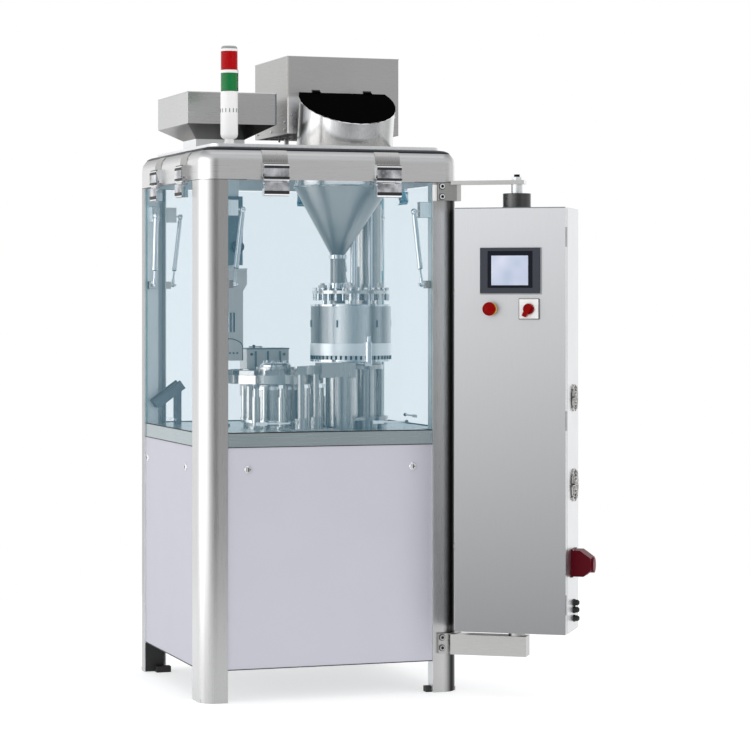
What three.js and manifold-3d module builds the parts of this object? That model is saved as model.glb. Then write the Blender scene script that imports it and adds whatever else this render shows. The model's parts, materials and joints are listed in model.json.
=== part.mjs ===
// Rotary capsule filler: a rounded stainless frame with four top-hinged glass doors on gas struts,
// a filling turret on the work table, hoppers on top, and a control cabinet on a swivel arm.
// Millimetres, +Z up.  Inside the "machine" group, x = 0 is the left outer face, y = 0 is the
// front face and z = 0 is the floor; the group then moves so that the whole object's box has its
// bottom centre at the origin.
import * as THREE from 'three';
import { mergeVertices } from 'three/addons/utils/BufferGeometryUtils.js';
import Module from 'manifold-3d';

const wasm = await Module();
wasm.setup();

// ---------------------------------------------------------------- driving dimensions
const WIDTH = 826;               // frame, outside, left to right
const DEPTH = 800;               // frame, outside, front to back
const GAP = 0.3;                 // between pieces that touch
const CORNER = 55;               // radius of the frame's vertical corners
const SHEET = 4;                 // wall of the bent-sheet posts and of the top frame
const POST_LIP = 46;             // inward return of a post's legs
const FRONT_LEFT_POST = { width: 82, depth: 110 };
const FRONT_RIGHT_POST = { width: 88, depth: 110 };
const BACK_LEFT_POST = { width: 82, depth: 83 };
const BACK_RIGHT_POST = { width: 88, depth: 83 };

const PANEL_BOTTOM = 98;         // lower edge of the painted panels
const TABLE_BOTTOM = 768;
const TABLE_TOP = 810;
const RING_BOTTOM = 1576;        // seam between the posts and the top frame
const RING_TOP = 1673;
const RING_ROUND = 40;           // rounding of the top frame's upper edge
const PLATE_TOP = 1679;          // top of the thin roof plate

const PANE_FRONT = 4;            // glass doors, measured inwards from the outer face
const PANE_BACK = 10;
const PANE_BOTTOM = 813;
const PANE_TOP = 1572;
const PANE_SIDE_GAP = 2;

const HINGE_OUT = 10;            // door hinge axis, outside the outer face
const HINGE_LENGTH = 80;
const HINGE_LEAF = 50;           // height of a leaf from the hinge axis
const KNUCKLE_RADIUS = 6;
const HINGE_PIN_RADIUS = 2.5;

const STRUT_TOP = { inset: 53, y: 26, z: 1485 };       // pivot on the post
const STRUT_BOTTOM = { inset: 27, y: 26, z: 1260 };    // pivot on the door
const STRUT_RADIUS = 8;
const STRUT_BODY = 176;          // length of the cylinder below its eye
const ROD_RADIUS = 3.6;

const ARM_TURN = THREE.MathUtils.degToRad(-33.8);      // the arms and the cabinet at rest
const PIVOT = { x: 970.7, y: -114.5 };
const CABINET = { width: 344, depth: 209, bottom: 200, top: 1493, door: 22 };
const ARM_REACH = 204;           // from the pivot back to the bracket on the post

const TURRET = { x: 345, y: 380, radius: 152, bottom: 948, top: 976 };
const DRUM = { x: 583, y: 340, radius: 128, bottom: 1020, top: 1198 };
const POWDER_TUBE = { x: 533, y: 320, radius: 24 };
const HOPPER_RADIUS = 152;
const HOPPER_LEAN = 0.2;         // forward lean per unit of height above the outlet
const CONE_BOTTOM = 1357;
const CONE_TOP = 1568;
const MOUTH_BACK = { y: 276, z: 1861 };                // hinge line of the hopper's lid
const MOUTH_SLOPE = THREE.MathUtils.degToRad(29);
const FEEDER = { x0: 379, x1: 753, y0: 365, y1: 732, bottom: 1740, top: 1988 };
const COLUMN = { x: 694, y: 502, radius: 46 };
const MAGAZINE = { x0: 138, x1: 242, y0: 395, y1: 470 };

// ---------------------------------------------------------------- materials
function finish(color, roughness, metalness, more = {}) {
  return new THREE.MeshStandardMaterial({ color, roughness, metalness, ...more });
}
const STAINLESS = finish(0xa9a9a7, 0.38, 0.9);
const BRIGHT_STEEL = finish(0xc4c8ca, 0.2, 1.0);
const CHROME = finish(0xe2e4e6, 0.06, 1.0);
const PANEL_PAINT = finish(0xc7c6d0, 0.45, 0.0);
const TABLE_STEEL = finish(0x82929a, 0.32, 0.9);
const GLASS = finish(0xdaeaf1, 0.05, 0.0, { transparent: true, opacity: 0.25 });
const CABINET_STEEL = finish(0xbfc1c4, 0.35, 0.85);
const DARK_STEEL = finish(0x5f656a, 0.4, 0.8);
const BLACK = finish(0x101010, 0.4, 0.1);
const RED = finish(0xc81c1c, 0.3, 0.0);
const DARK_RED = finish(0x64000f, 0.35, 0.0);
const BEZEL = finish(0x373c4b, 0.45, 0.0);
const WHITE = finish(0xf2f2f0, 0.35, 0.0);

// ---------------------------------------------------------------- solids and booleans
function solidOf(geometry) {
  const bare = geometry.clone();
  bare.deleteAttribute('normal');
  bare.deleteAttribute('uv');
  const merged = mergeVertices(bare, 1e-4);
  const mesh = new wasm.Mesh({
    numProp: 3,
    vertProperties: new Float32Array(merged.attributes.position.array),
    triVerts: new Uint32Array(merged.index.array),
  });
  return new wasm.Manifold(mesh);
}

function geometryOf(solid) {
  const mesh = solid.getMesh();
  const geometry = new THREE.BufferGeometry();
  geometry.setAttribute('position', new THREE.BufferAttribute(mesh.vertProperties, 3));
  geometry.setIndex(new THREE.BufferAttribute(mesh.triVerts, 1));
  geometry.computeVertexNormals();
  return geometry;
}

function join(...geometries) {
  return geometryOf(geometries.map(solidOf).reduce((sum, next) => sum.add(next)));
}

function cut(geometry, ...tools) {
  return geometryOf(tools.map(solidOf).reduce((rest, tool) => rest.subtract(tool), solidOf(geometry)));
}

function overlap(a, b) {
  return geometryOf(solidOf(a).intersect(solidOf(b)));
}

// A box between two corners.
function block(x0, x1, y0, y1, z0, z1) {
  const geometry = new THREE.BoxGeometry(x1 - x0, y1 - y0, z1 - z0);
  return geometry.translate((x0 + x1) / 2, (y0 + y1) / 2, (z0 + z1) / 2);
}

// An upright round bar; a different top radius makes a cone.
function bar(x, y, z0, z1, radius, sides = 16, topRadius = radius) {
  const geometry = new THREE.CylinderGeometry(topRadius, radius, z1 - z0, sides);
  return geometry.rotateX(Math.PI / 2).translate(x, y, (z0 + z1) / 2);
}

// A round bar along x.
function crossBar(x0, x1, y, z, radius, sides = 12) {
  const geometry = new THREE.CylinderGeometry(radius, radius, x1 - x0, sides);
  return geometry.rotateZ(Math.PI / 2).translate((x0 + x1) / 2, y, z);
}

// A plan outline [[x, y], ...] raised from z0 to z1.
function raised(outline, z0, z1) {
  const shape = new THREE.Shape(outline.map(([x, y]) => new THREE.Vector2(x, y)));
  return new THREE.ExtrudeGeometry(shape, { depth: z1 - z0, bevelEnabled: false }).translate(0, 0, z0);
}

// A side profile [[y, z], ...] extruded along x.
function profiled(profile, x0, x1) {
  const shape = new THREE.Shape(profile.map(([y, z]) => new THREE.Vector2(y, z)));
  const geometry = new THREE.ExtrudeGeometry(shape, { depth: x1 - x0, bevelEnabled: false });
  const turn = new THREE.Matrix4().set(0, 0, 1, x0, 1, 0, 0, 0, 0, 1, 0, 0, 0, 0, 0, 1);
  return geometry.applyMatrix4(turn);
}

// A solid through a stack of level outlines with equal point counts: [{ z, points }, ...].
function lofted(rings) {
  const count = rings[0].points.length;
  const positions = [];
  const faces = [];
  for (const { z, points } of rings) {
    for (const [x, y] of points) positions.push(x, y, z);
  }
  for (let level = 0; level < rings.length - 1; level += 1) {
    for (let i = 0; i < count; i += 1) {
      const a = level * count + i;
      const b = level * count + ((i + 1) % count);
      faces.push(a, b, b + count, a, b + count, a + count);
    }
  }
  const last = (rings.length - 1) * count;
  for (let i = 1; i < count - 1; i += 1) {
    faces.push(0, i + 1, i);
    faces.push(last, last + i, last + i + 1);
  }
  const geometry = new THREE.BufferGeometry();
  geometry.setAttribute('position', new THREE.Float32BufferAttribute(positions, 3));
  geometry.setIndex(faces);
  geometry.computeVertexNormals();
  return geometry;
}

function rectangle(x0, x1, y0, y1) {
  return [[x0, y0], [x1, y0], [x1, y1], [x0, y1]];
}

function circle(x, y, radius, count) {
  return Array.from({ length: count }, (_, i) => {
    const angle = (2 * Math.PI * i) / count;
    return [x + radius * Math.cos(angle), y + radius * Math.sin(angle)];
  });
}

// Points of an arc from one angle to another, in degrees.
function arc(x, y, radius, from, to, steps) {
  return Array.from({ length: steps + 1 }, (_, i) => {
    const angle = THREE.MathUtils.degToRad(from + ((to - from) * i) / steps);
    return [x + radius * Math.cos(angle), y + radius * Math.sin(angle)];
  });
}

function roundedRectangle(x0, x1, y0, y1, radius, steps = 5) {
  return [
    ...arc(x1 - radius, y0 + radius, radius, 270, 360, steps),
    ...arc(x1 - radius, y1 - radius, radius, 0, 90, steps),
    ...arc(x0 + radius, y1 - radius, radius, 90, 180, steps),
    ...arc(x0 + radius, y0 + radius, radius, 180, 270, steps),
  ];
}

const machine = new THREE.Group();

function addPiece(parent, name, geometry, material) {
  const mesh = new THREE.Mesh(geometry, material);
  mesh.name = name;
  parent.add(mesh);
  return mesh;
}

// ---------------------------------------------------------------- the four sides
// Each side has its own frame: x runs along the face from its left end seen from outside,
// y runs inwards from the outer face, z is up.  "low" and "high" are the posts' inner edges.
const SIDES = {
  front: {
    x: 0, y: 0, turn: 0, hingeSpread: 180, hingeShift: 0,
    low: FRONT_LEFT_POST.width, high: WIDTH - FRONT_RIGHT_POST.width,
  },
  left: {
    x: 0, y: DEPTH, turn: -Math.PI / 2, hingeSpread: 160, hingeShift: 41,
    low: BACK_LEFT_POST.depth, high: DEPTH - FRONT_LEFT_POST.depth,
  },
  right: {
    x: WIDTH, y: 0, turn: Math.PI / 2, hingeSpread: 155, hingeShift: 0,
    low: FRONT_RIGHT_POST.depth, high: DEPTH - BACK_RIGHT_POST.depth,
  },
  back: {
    x: WIDTH, y: DEPTH, turn: Math.PI, hingeSpread: 180, hingeShift: 0,
    low: BACK_RIGHT_POST.width, high: WIDTH - BACK_LEFT_POST.width,
  },
};

function sideMatrix(side) {
  const matrix = new THREE.Matrix4().makeRotationZ(side.turn);
  return matrix.setPosition(side.x, side.y, 0);
}

function sideGroup(side) {
  const group = new THREE.Group();
  group.position.set(side.x, side.y, 0);
  group.rotation.z = side.turn;
  machine.add(group);
  return group;
}

function hingeCentres(side) {
  const middle = (side.low + side.high) / 2 + side.hingeShift;
  return [middle - side.hingeSpread, middle + side.hingeSpread];
}

// ---------------------------------------------------------------- gas struts
// A strut's own frame has its upper pivot at the origin and hangs along -z; "hand" is +1 at the
// low end of a side and -1 at its high end.
function strutFrame(side, hand) {
  const edge = hand > 0 ? side.low : side.high;
  const top = new THREE.Vector3(edge + hand * STRUT_TOP.inset, STRUT_TOP.y, STRUT_TOP.z);
  const bottom = new THREE.Vector3(edge + hand * STRUT_BOTTOM.inset, STRUT_BOTTOM.y, STRUT_BOTTOM.z);
  const down = bottom.clone().sub(top);
  const length = down.length();
  const turn = new THREE.Quaternion().setFromUnitVectors(new THREE.Vector3(0, 0, -1), down.normalize());
  return { top, length, turn };
}

function strutCylinder() {
  const eye = crossBar(-4.5, 4.5, 0, 0, 9);
  const neck = bar(0, 0, -16, -4, 5.5, 12);
  const tube = bar(0, 0, -STRUT_BODY, -14, STRUT_RADIUS, 12);
  const bore = bar(0, 0, -STRUT_BODY - 1, -24, 5.4, 12);
  return cut(join(eye, neck, tube), bore, crossBar(-6, 6, 0, 0, 3.6, 10));
}

function strutRod(length) {
  const rod = bar(0, 0, -length + 4, -32, ROD_RADIUS, 10);
  const piston = bar(0, 0, -40, -31, 4.7, 12);
  const eye = crossBar(-4.5, 4.5, 0, -length, 7.5);
  return cut(join(rod, piston, eye), crossBar(-6, 6, 0, -length, 3, 10));
}

// Square block on the post with the pin that carries the cylinder's eye, in the machine's frame.
function strutBracket(side, hand) {
  const edge = hand > 0 ? side.low : side.high;
  const near = edge - hand * 2;
  const far = edge + hand * 36;
  const body = block(Math.min(near, far), Math.max(near, far), 16, 42, 1466, 1515);
  const { top, turn } = strutFrame(side, hand);
  const pinEnds = [-20 * hand, 6.5 * hand].sort((a, b) => a - b);
  const pin = crossBar(pinEnds[0], pinEnds[1], 0, 0, 2.8, 10);
  pin.applyQuaternion(turn).translate(top.x, top.y, top.z);
  return join(body, pin).applyMatrix4(sideMatrix(side));
}

// ---------------------------------------------------------------- frame
// Plan outline of a bent-sheet post at the corner (0, 0), open towards the inside.
function postOutline({ width, depth }) {
  return [
    [width, 0], [width, POST_LIP], [width - SHEET, POST_LIP], [width - SHEET, SHEET],
    ...arc(CORNER, CORNER, CORNER - SHEET, 270, 180, 6),
    [SHEET, depth - SHEET], [POST_LIP, depth - SHEET], [POST_LIP, depth], [0, depth],
    ...arc(CORNER, CORNER, CORNER, 180, 270, 8),
  ];
}

function levellingFoot() {
  const pad = block(SHEET - 1, 78, 30, 62, 0, 12);
  const bolt = bar(62, 46, 10, 58, 8, 8);
  return join(pad, bolt);
}

function addPost(name, size, flipX, flipY, brackets) {
  const place = ([x, y]) => [flipX ? WIDTH - x : x, flipY ? DEPTH - y : y];
  const mirror = new THREE.Matrix4().makeScale(flipX ? -1 : 1, flipY ? -1 : 1, 1);
  mirror.setPosition(flipX ? WIDTH : 0, flipY ? DEPTH : 0, 0);
  const foot = levellingFoot().applyMatrix4(mirror);
  if (flipX !== flipY) {
    const index = foot.index.array;
    for (let i = 0; i < index.length; i += 3) [index[i], index[i + 1]] = [index[i + 1], index[i]];
  }
  const post = raised(postOutline(size).map(place), 0, RING_BOTTOM - GAP);
  addPiece(machine, name, join(post, foot, ...brackets), STAINLESS);
}

addPost('post_front_left', FRONT_LEFT_POST, false, false,
  [strutBracket(SIDES.front, 1), strutBracket(SIDES.left, -1)]);
addPost('post_front_right', FRONT_RIGHT_POST, true, false,
  [strutBracket(SIDES.front, -1), strutBracket(SIDES.right, 1)]);
addPost('post_back_left', BACK_LEFT_POST, false, true,
  [strutBracket(SIDES.back, -1), strutBracket(SIDES.left, 1)]);
addPost('post_back_right', BACK_RIGHT_POST, true, true,
  [strutBracket(SIDES.back, 1), strutBracket(SIDES.right, -1)]);

// Side profile of a hinge leaf; sign 1 stands it above the axis, -1 hangs it below.
function leafProfile(back, axisZ, sign) {
  const y = -HINGE_OUT;
  return [
    [back, 7], [y + 4, 7], [y + 2, 14], [-17, 18], [-17, 40], [-11, HINGE_LEAF], [back, HINGE_LEAF],
  ].map(([py, drop]) => [py, axisZ + sign * drop]);
}

// Fixed leaf above the axis with two outer knuckles, open for the pin.
function fixedLeaf(centre) {
  const half = HINGE_LENGTH / 2;
  const leaf = profiled(leafProfile(1, RING_BOTTOM, 1), centre - half, centre + half);
  const pieces = [leaf];
  for (const [from, to] of [[-half, -half + 20], [half - 20, half]]) {
    pieces.push(crossBar(centre + from, centre + to, -HINGE_OUT, RING_BOTTOM, KNUCKLE_RADIUS));
    const web = block(centre + from, centre + to, -HINGE_OUT - 3, -HINGE_OUT + 4,
      RING_BOTTOM + 3, RING_BOTTOM + 9);
    pieces.push(web);
  }
  const pinHole = crossBar(centre - half - 1, centre + half + 1, -HINGE_OUT, RING_BOTTOM,
    HINGE_PIN_RADIUS + 0.5, 10);
  return cut(join(...pieces), pinHole);
}

// Clamp on the glass below the axis with the middle knuckle and the pin.
function hingeClamp(centre, back) {
  const half = HINGE_LENGTH / 2;
  const leaf = profiled(leafProfile(back, RING_BOTTOM, -1), centre - half, centre + half);
  const knuckle = crossBar(centre - half + 20.5, centre + half - 20.5, -HINGE_OUT, RING_BOTTOM,
    KNUCKLE_RADIUS);
  const web = block(centre - half + 20.5, centre + half - 20.5, -HINGE_OUT - 3, -HINGE_OUT + 4,
    RING_BOTTOM - 9, RING_BOTTOM - 3);
  const pin = crossBar(centre - half + 2, centre + half - 2, -HINGE_OUT, RING_BOTTOM,
    HINGE_PIN_RADIUS, 10);
  return join(leaf, knuckle, web, pin);
}

// Rounded-top ring around the machine's head.
function topFrame() {
  const shell = (inset, top, bottom) => {
    const radius = RING_ROUND - inset;
    const flat = top - RING_ROUND + inset;
    const rings = [{ z: bottom, points: roundedRectangle(inset, WIDTH - inset, inset, DEPTH - inset,
      CORNER - inset) }];
    for (const degrees of [0, 25, 50, 75, 90]) {
      const angle = THREE.MathUtils.degToRad(degrees);
      const pull = inset + radius * (1 - Math.cos(angle));
      rings.push({ z: flat + radius * Math.sin(angle),
        points: roundedRectangle(pull, WIDTH - pull, pull, DEPTH - pull, CORNER - pull) });
    }
    return lofted(rings);
  };
  const outer = shell(0, RING_TOP, RING_BOTTOM);
  const inner = shell(SHEET, RING_TOP - SHEET, RING_BOTTOM - 1);
  const roofOpening = block(70, WIDTH - 70, 70, DEPTH - 70, RING_TOP - 20, RING_TOP + 1);
  const leaves = Object.values(SIDES).flatMap((side) =>
    hingeCentres(side).map((centre) => fixedLeaf(centre).applyMatrix4(sideMatrix(side))));
  return join(cut(outer, inner, roofOpening), ...leaves);
}

addPiece(machine, 'top_frame', topFrame(), STAINLESS);

// Slab whose corners are notched around the four posts.
function notchedSlab(inset, z0, z1) {
  const clear = 1;
  const frontLow = FRONT_LEFT_POST.width + clear;
  const frontHigh = WIDTH - FRONT_RIGHT_POST.width - clear;
  const leftLow = FRONT_LEFT_POST.depth + clear;
  const leftHigh = DEPTH - BACK_LEFT_POST.depth - clear;
  return raised([
    [frontLow, inset], [frontHigh, inset], [frontHigh, leftLow], [WIDTH - inset, leftLow],
    [WIDTH - inset, leftHigh], [frontHigh, leftHigh], [frontHigh, DEPTH - inset],
    [frontLow, DEPTH - inset], [frontLow, leftHigh], [inset, leftHigh], [inset, leftLow],
    [frontLow, leftLow],
  ], z0, z1);
}

addPiece(machine, 'work_table', notchedSlab(4, TABLE_BOTTOM, TABLE_TOP), TABLE_STEEL);
addPiece(machine, 'base_plate', notchedSlab(24, 110, 122), DARK_STEEL);

// Roof plate with clearances for the hoppers and the feeder column.
function roofPlate() {
  const plate = raised(roundedRectangle(48, WIDTH - 48, 48, DEPTH - 48, 30), RING_TOP + GAP, PLATE_TOP);
  const low = RING_TOP - 5;
  const high = PLATE_TOP + 5;
  const neckY = hopperCentreY(RING_TOP);
  return cut(plate,
    bar(POWDER_TUBE.x, neckY, low, high, HOPPER_RADIUS + 4, 32),
    bar(COLUMN.x, COLUMN.y, low, high, COLUMN.radius + 2, 20),
    block(128, 242, 396, 494, low, high));
}

// ---------------------------------------------------------------- side panels and glass doors
function lowerPanel(side) {
  const x0 = side.low + GAP;
  const x1 = side.high - GAP;
  const sheet = 2;
  return raised([
    [x0, 5], [x1, 5], [x1, 23], [x1 - sheet, 23], [x1 - sheet, 5 + sheet],
    [x0 + sheet, 5 + sheet], [x0 + sheet, 23], [x0, 23],
  ], PANEL_BOTTOM, TABLE_BOTTOM - GAP);
}

function glassPane(side) {
  const x0 = side.low + PANE_SIDE_GAP;
  const x1 = side.high - PANE_SIDE_GAP;
  const pane = block(x0, x1, PANE_FRONT, PANE_BACK, PANE_BOTTOM, PANE_TOP);
  const z = STRUT_BOTTOM.z;
  const reach = STRUT_BOTTOM.inset - 8;
  return join(pane,
    block(side.low + 3, side.low + reach, PANE_BACK - 1, STRUT_BOTTOM.y + 8, z - 12, z + 12),
    block(side.high - reach, side.high - 3, PANE_BACK - 1, STRUT_BOTTOM.y + 8, z - 12, z + 12));
}

const SEPARATE_CLAMPS = ['front', 'left'];

for (const [name, side] of Object.entries(SIDES)) {
  const group = sideGroup(side);
  addPiece(group, `lower_panel_${name}`, lowerPanel(side), PANEL_PAINT);
  const clampsApart = SEPARATE_CLAMPS.includes(name);
  const clamps = hingeCentres(side).map((centre) =>
    hingeClamp(centre, clampsApart ? PANE_FRONT - GAP : PANE_FRONT + 1));
  if (clampsApart) {
    addPiece(group, `glass_door_${name}`, glassPane(side), GLASS);
    addPiece(group, `hinge_clamp_${name}_1`, clamps[0], CHROME);
    addPiece(group, `hinge_clamp_${name}_2`, clamps[1], CHROME);
  } else {
    addPiece(group, `glass_door_${name}`, join(glassPane(side), ...clamps), GLASS);
  }
  for (const [hand, number] of [[1, 1], [-1, 2]]) {
    const { top, length, turn } = strutFrame(side, hand);
    const strut = new THREE.Group();
    strut.position.copy(top);
    strut.quaternion.copy(turn);
    group.add(strut);
    addPiece(strut, `strut_cylinder_${name}_${number}`, strutCylinder(), CHROME);
    addPiece(strut, `strut_rod_${name}_${number}`, strutRod(length), CHROME);
  }
}

// ---------------------------------------------------------------- hoppers and feeder on the roof
function hopperCentreY(z) {
  return POWDER_TUBE.y - Math.max(0, z - CONE_BOTTOM) * HOPPER_LEAN;
}

// Outside of the powder hopper: outlet tube, cone and leaning neck; "grow" offsets its wall.
function hopperSolid(grow, bottom, top) {
  const rings = [
    [bottom, POWDER_TUBE.radius], [CONE_BOTTOM, POWDER_TUBE.radius],
    [CONE_TOP, HOPPER_RADIUS], [top, HOPPER_RADIUS],
  ];
  return lofted(rings.map(([z, radius]) => ({
    z, points: circle(POWDER_TUBE.x, hopperCentreY(z), radius + grow, 32),
  })));
}

// Everything in front of the lid's hinge line and above the sloping mouth, raised by "lift".
function aboveMouth(lift) {
  const reach = 400;
  const { y, z } = MOUTH_BACK;
  const raise = lift / Math.cos(MOUTH_SLOPE);
  return profiled([
    [y, z + raise], [y, z + reach], [y - reach, z + reach],
    [y - reach, z + raise - reach * Math.tan(MOUTH_SLOPE)],
  ], 200, 900);
}

function powderHopper() {
  const wall = 2.5;
  const { y, z } = MOUTH_BACK;
  const backCut = (back, drop) => [
    block(200, 900, back, 700, z - drop, 2400),
    block(200, 900, FEEDER.y0 - GAP - drop, 700, FEEDER.bottom - 8 - drop, 2400),
  ];
  const outside = cut(hopperSolid(0, 1200, 2000), aboveMouth(0), ...backCut(y - 1, 0));
  const inside = cut(hopperSolid(-wall, 1190, 2010), ...backCut(y - 1, wall));
  return cut(outside, inside);
}

// Flat lid on the sloping mouth, with two hinge barrels along its straight back edge.
const LID_AXIS = { y: MOUTH_BACK.y + 5, z: MOUTH_BACK.z + 6 };
function hopperLid() {
  const thickness = 4;
  const slab = cut(aboveMouth(GAP), aboveMouth(GAP + thickness));
  const behind = block(200, 900, MOUTH_BACK.y - 0.5, 900, 1000, 2400);
  const plate = overlap(slab, cut(hopperSolid(2, 1200, 2100), behind));
  const barrels = [-85, 85].map((offset) => {
    const x = POWDER_TUBE.x + offset;
    const arm = block(x - 13, x + 13, MOUTH_BACK.y - 8, LID_AXIS.y, LID_AXIS.z - 4, LID_AXIS.z);
    return join(crossBar(x - 13, x + 13, LID_AXIS.y, LID_AXIS.z, 4.5), arm);
  });
  return join(plate, ...barrels);
}

// Sheet tray with an inverted pyramid, a neck on the roof and a feed chute inside the machine.
function capsuleHopper() {
  const body = (inset, low, high) => lofted([
    [low, 148, 230, 405, 455], [PLATE_TOP - 30, 148, 230, 405, 455],
    [PLATE_TOP - 8, 134, 236, 402, 488], [PLATE_TOP + 1, 134, 236, 402, 488],
    [PLATE_TOP + 1.2, 88, 248, 400, 556], [1720, 88, 248, 400, 556],
    [1762, 36, 322, 300, 680], [high, 36, 322, 300, 680],
  ].map(([z, x0, x1, y0, y1]) => ({
    z, points: rectangle(x0 + inset, x1 - inset, y0 + inset, y1 - inset),
  })));
  return cut(body(0, 1300, 1860), body(2.5, 1299, 1861));
}

function feederCover() {
  const wall = 2;
  const { x0, x1, y0, y1, bottom, top } = FEEDER;
  return cut(block(x0, x1, y0, y1, bottom, top),
    block(x0 + wall, x1 - wall, y0 + wall, y1 - wall, bottom - 1, top - wall));
}

// Tubular column from the work table to the feeder cover.
function feederColumn() {
  const column = join(
    bar(COLUMN.x, COLUMN.y, TABLE_TOP + GAP, TABLE_TOP + 20, 66, 24),
    bar(COLUMN.x, COLUMN.y, TABLE_TOP + 10, FEEDER.top - 40, COLUMN.radius, 24),
    block(COLUMN.x - 55, COLUMN.x + 45, COLUMN.y - 60, COLUMN.y + 60,
      FEEDER.top - 60, FEEDER.top - 2.5));
  return cut(column, bar(COLUMN.x, COLUMN.y, TABLE_TOP, FEEDER.top - 70, COLUMN.radius - 5, 24));
}

function towerLight() {
  const profile = [
    [0, 0], [22, 0], [22, 5], [11, 8], [11, 31], [22, 40], [26.5, 56], [26.5, 166], [25.5, 168],
    [25.5, 222], [26.5, 224], [26.5, 230], [25.5, 232], [25.5, 287], [26.5, 289], [26.5, 298],
    [20, 304], [0, 305],
  ].map(([radius, z]) => new THREE.Vector2(radius, z));
  const geometry = new THREE.LatheGeometry(profile, 16);
  return geometry.rotateX(Math.PI / 2).translate(108, 80, PLATE_TOP + GAP);
}

addPiece(machine, 'top_plate', roofPlate(), STAINLESS);
addPiece(machine, 'powder_hopper', powderHopper(), BRIGHT_STEEL);
addPiece(machine, 'hopper_lid', hopperLid(), BLACK);
addPiece(machine, 'capsule_hopper', capsuleHopper(), STAINLESS);
addPiece(machine, 'feeder_cover', feederCover(), STAINLESS);
addPiece(machine, 'feeder_column', feederColumn(), BRIGHT_STEEL);
addPiece(machine, 'tower_light', towerLight(), WHITE);

// ---------------------------------------------------------------- filling stations on the table
// Ten segment carriers stand out around the turret; its shaft turns in the housing.
function turret() {
  const stations = 10;
  const outline = [];
  for (let i = 0; i < stations; i += 1) {
    const middle = (360 * i) / stations;
    outline.push(...arc(0, 0, TURRET.radius, middle - 13, middle + 13, 2));
    outline.push(...arc(0, 0, TURRET.radius - 22, middle + 14, middle + 22, 1));
  }
  const disc = raised(outline, TURRET.bottom, TURRET.top).translate(TURRET.x, TURRET.y, 0);
  return join(disc,
    bar(TURRET.x, TURRET.y, TURRET.top - 1, TURRET.top + 24, 62, 24),
    bar(TURRET.x, TURRET.y, 906, TURRET.bottom + 1, 22, 20));
}

// Housing under the turret; its base plate also carries the front ejector's two guide columns,
// whose cross head reaches over the turret's edge.
function turretHousing() {
  const table = TABLE_TOP + GAP;
  const column = (x, y, radius, top) => [
    bar(x, y, table, TABLE_TOP + 40, radius + 9, 16), bar(x, y, 840, top, radius, 16),
  ];
  const shell = join(
    bar(TURRET.x, TURRET.y, table, 826, 104, 28),
    bar(TURRET.x, TURRET.y, 820, TURRET.bottom - 4, 88, 28),
    block(300, 430, 20, 300, table, 818),
    ...column(325, 44, 10, 1002), ...column(400, 130, 9, 1002),
    raised([[310, 36], [338, 26], [420, 132], [392, 148]], 984, 1010));
  return cut(shell, bar(TURRET.x, TURRET.y, 900, 960, 22.6, 20));
}

function closingStation() {
  return join(
    block(300, 442, 556, 640, 900, 1054),
    block(330, 412, 566, 630, TABLE_TOP + GAP, 901),
    block(320, 326, 590, 596, 1053, 1060), block(354, 360, 590, 596, 1053, 1060),
    block(318, 362, 589, 597, 1058, 1062));
}

// Rotating dosing disc with the powder drum's wall on it.
function dosingDrum() {
  const { x, y, radius, bottom, top } = DRUM;
  return join(
    cut(bar(x, y, bottom, top, radius, 36), bar(x, y, bottom + 14, top + 1, radius - 3, 36)),
    bar(x, y, bottom - 12, bottom + 1, 30, 20));
}

// Tamping head: ring plate with six rods down into the drum and a crown of short springs.
function tampingHead() {
  const { x, y, top } = DRUM;
  const plate = cut(bar(x, y, top + 34, top + 44, 124, 36),
    bar(POWDER_TUBE.x, POWDER_TUBE.y, top + 30, top + 50, POWDER_TUBE.radius + 6, 20));
  const pieces = [plate];
  for (let i = 0; i < 6; i += 1) {
    const angle = THREE.MathUtils.degToRad(60 * i + 12);
    const px = x + 96 * Math.cos(angle);
    const py = y + 96 * Math.sin(angle);
    pieces.push(bar(px, py, top - 60, top + 35, 7, 10));
  }
  pieces.push(bar(x + 30, y + 20, top + 40, top + 120, 9, 12));
  return join(...pieces);
}

function dosingStand() {
  const { x, y, bottom } = DRUM;
  const table = TABLE_TOP + GAP;
  const plateTop = bottom - 13;
  return join(
    bar(499, 190, table, 972, 42, 28), block(426, 540, 160, 220, 970, 1016),
    raised([[482, 196], [512, 168], [612, 220], [570, 300]], 834, 843),
    bar(610, 275, table, 834, 38, 24), bar(610, 275, 832, 845, 72, 28),
    bar(610, 275, 840, plateTop - 10, 27, 20),
    bar(x, y, plateTop - 14, plateTop, 104, 32),
    bar(525, 300, plateTop - 50, plateTop - 10, 26, 24),
    bar(512, 360, table, plateTop - 5, 7, 12), bar(676, 330, table, plateTop - 5, 12, 12),
    bar(640, 400, table, plateTop - 5, 12, 12));
}

// Magazine: feed box with a small open hopper at its head; it moves up and down on its stand.
function capsuleMagazine() {
  const { x0, x1, y0, y1 } = MAGAZINE;
  const rings = (inset, low, high) => lofted([
    [low, 0], [1240, 0], [1262, 10], [high, 10],
  ].map(([z, out]) => ({
    z,
    points: rectangle(x0 - out + inset, x1 + out - inset, y0 - out + inset, y1 + out - inset),
  })));
  return cut(rings(0, 1020, 1312), rings(3, 1254, 1313));
}

function magazineStand() {
  const { x0, y1 } = MAGAZINE;
  return join(
    block(x0 - 12, x0 + 50, y1 + 3, y1 + 33, TABLE_TOP + 20, 1200),
    block(x0 - 20, x0 + 58, y1 - 12, y1 + 48, TABLE_TOP + GAP, TABLE_TOP + 22));
}

// Open chute that carries the filled capsules down to the left, on a bent foot.
function dischargeChute() {
  const slope = profiled([
    [-27, 0], [27, 0], [27, 30], [24, 30], [24, 3], [-24, 3], [-24, 30], [-27, 30],
  ], -55, 55);
  slope.rotateY(THREE.MathUtils.degToRad(-36)).translate(78, 684, 893);
  return join(slope, block(92, 112, 670, 698, TABLE_TOP + GAP, 922));
}

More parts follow.
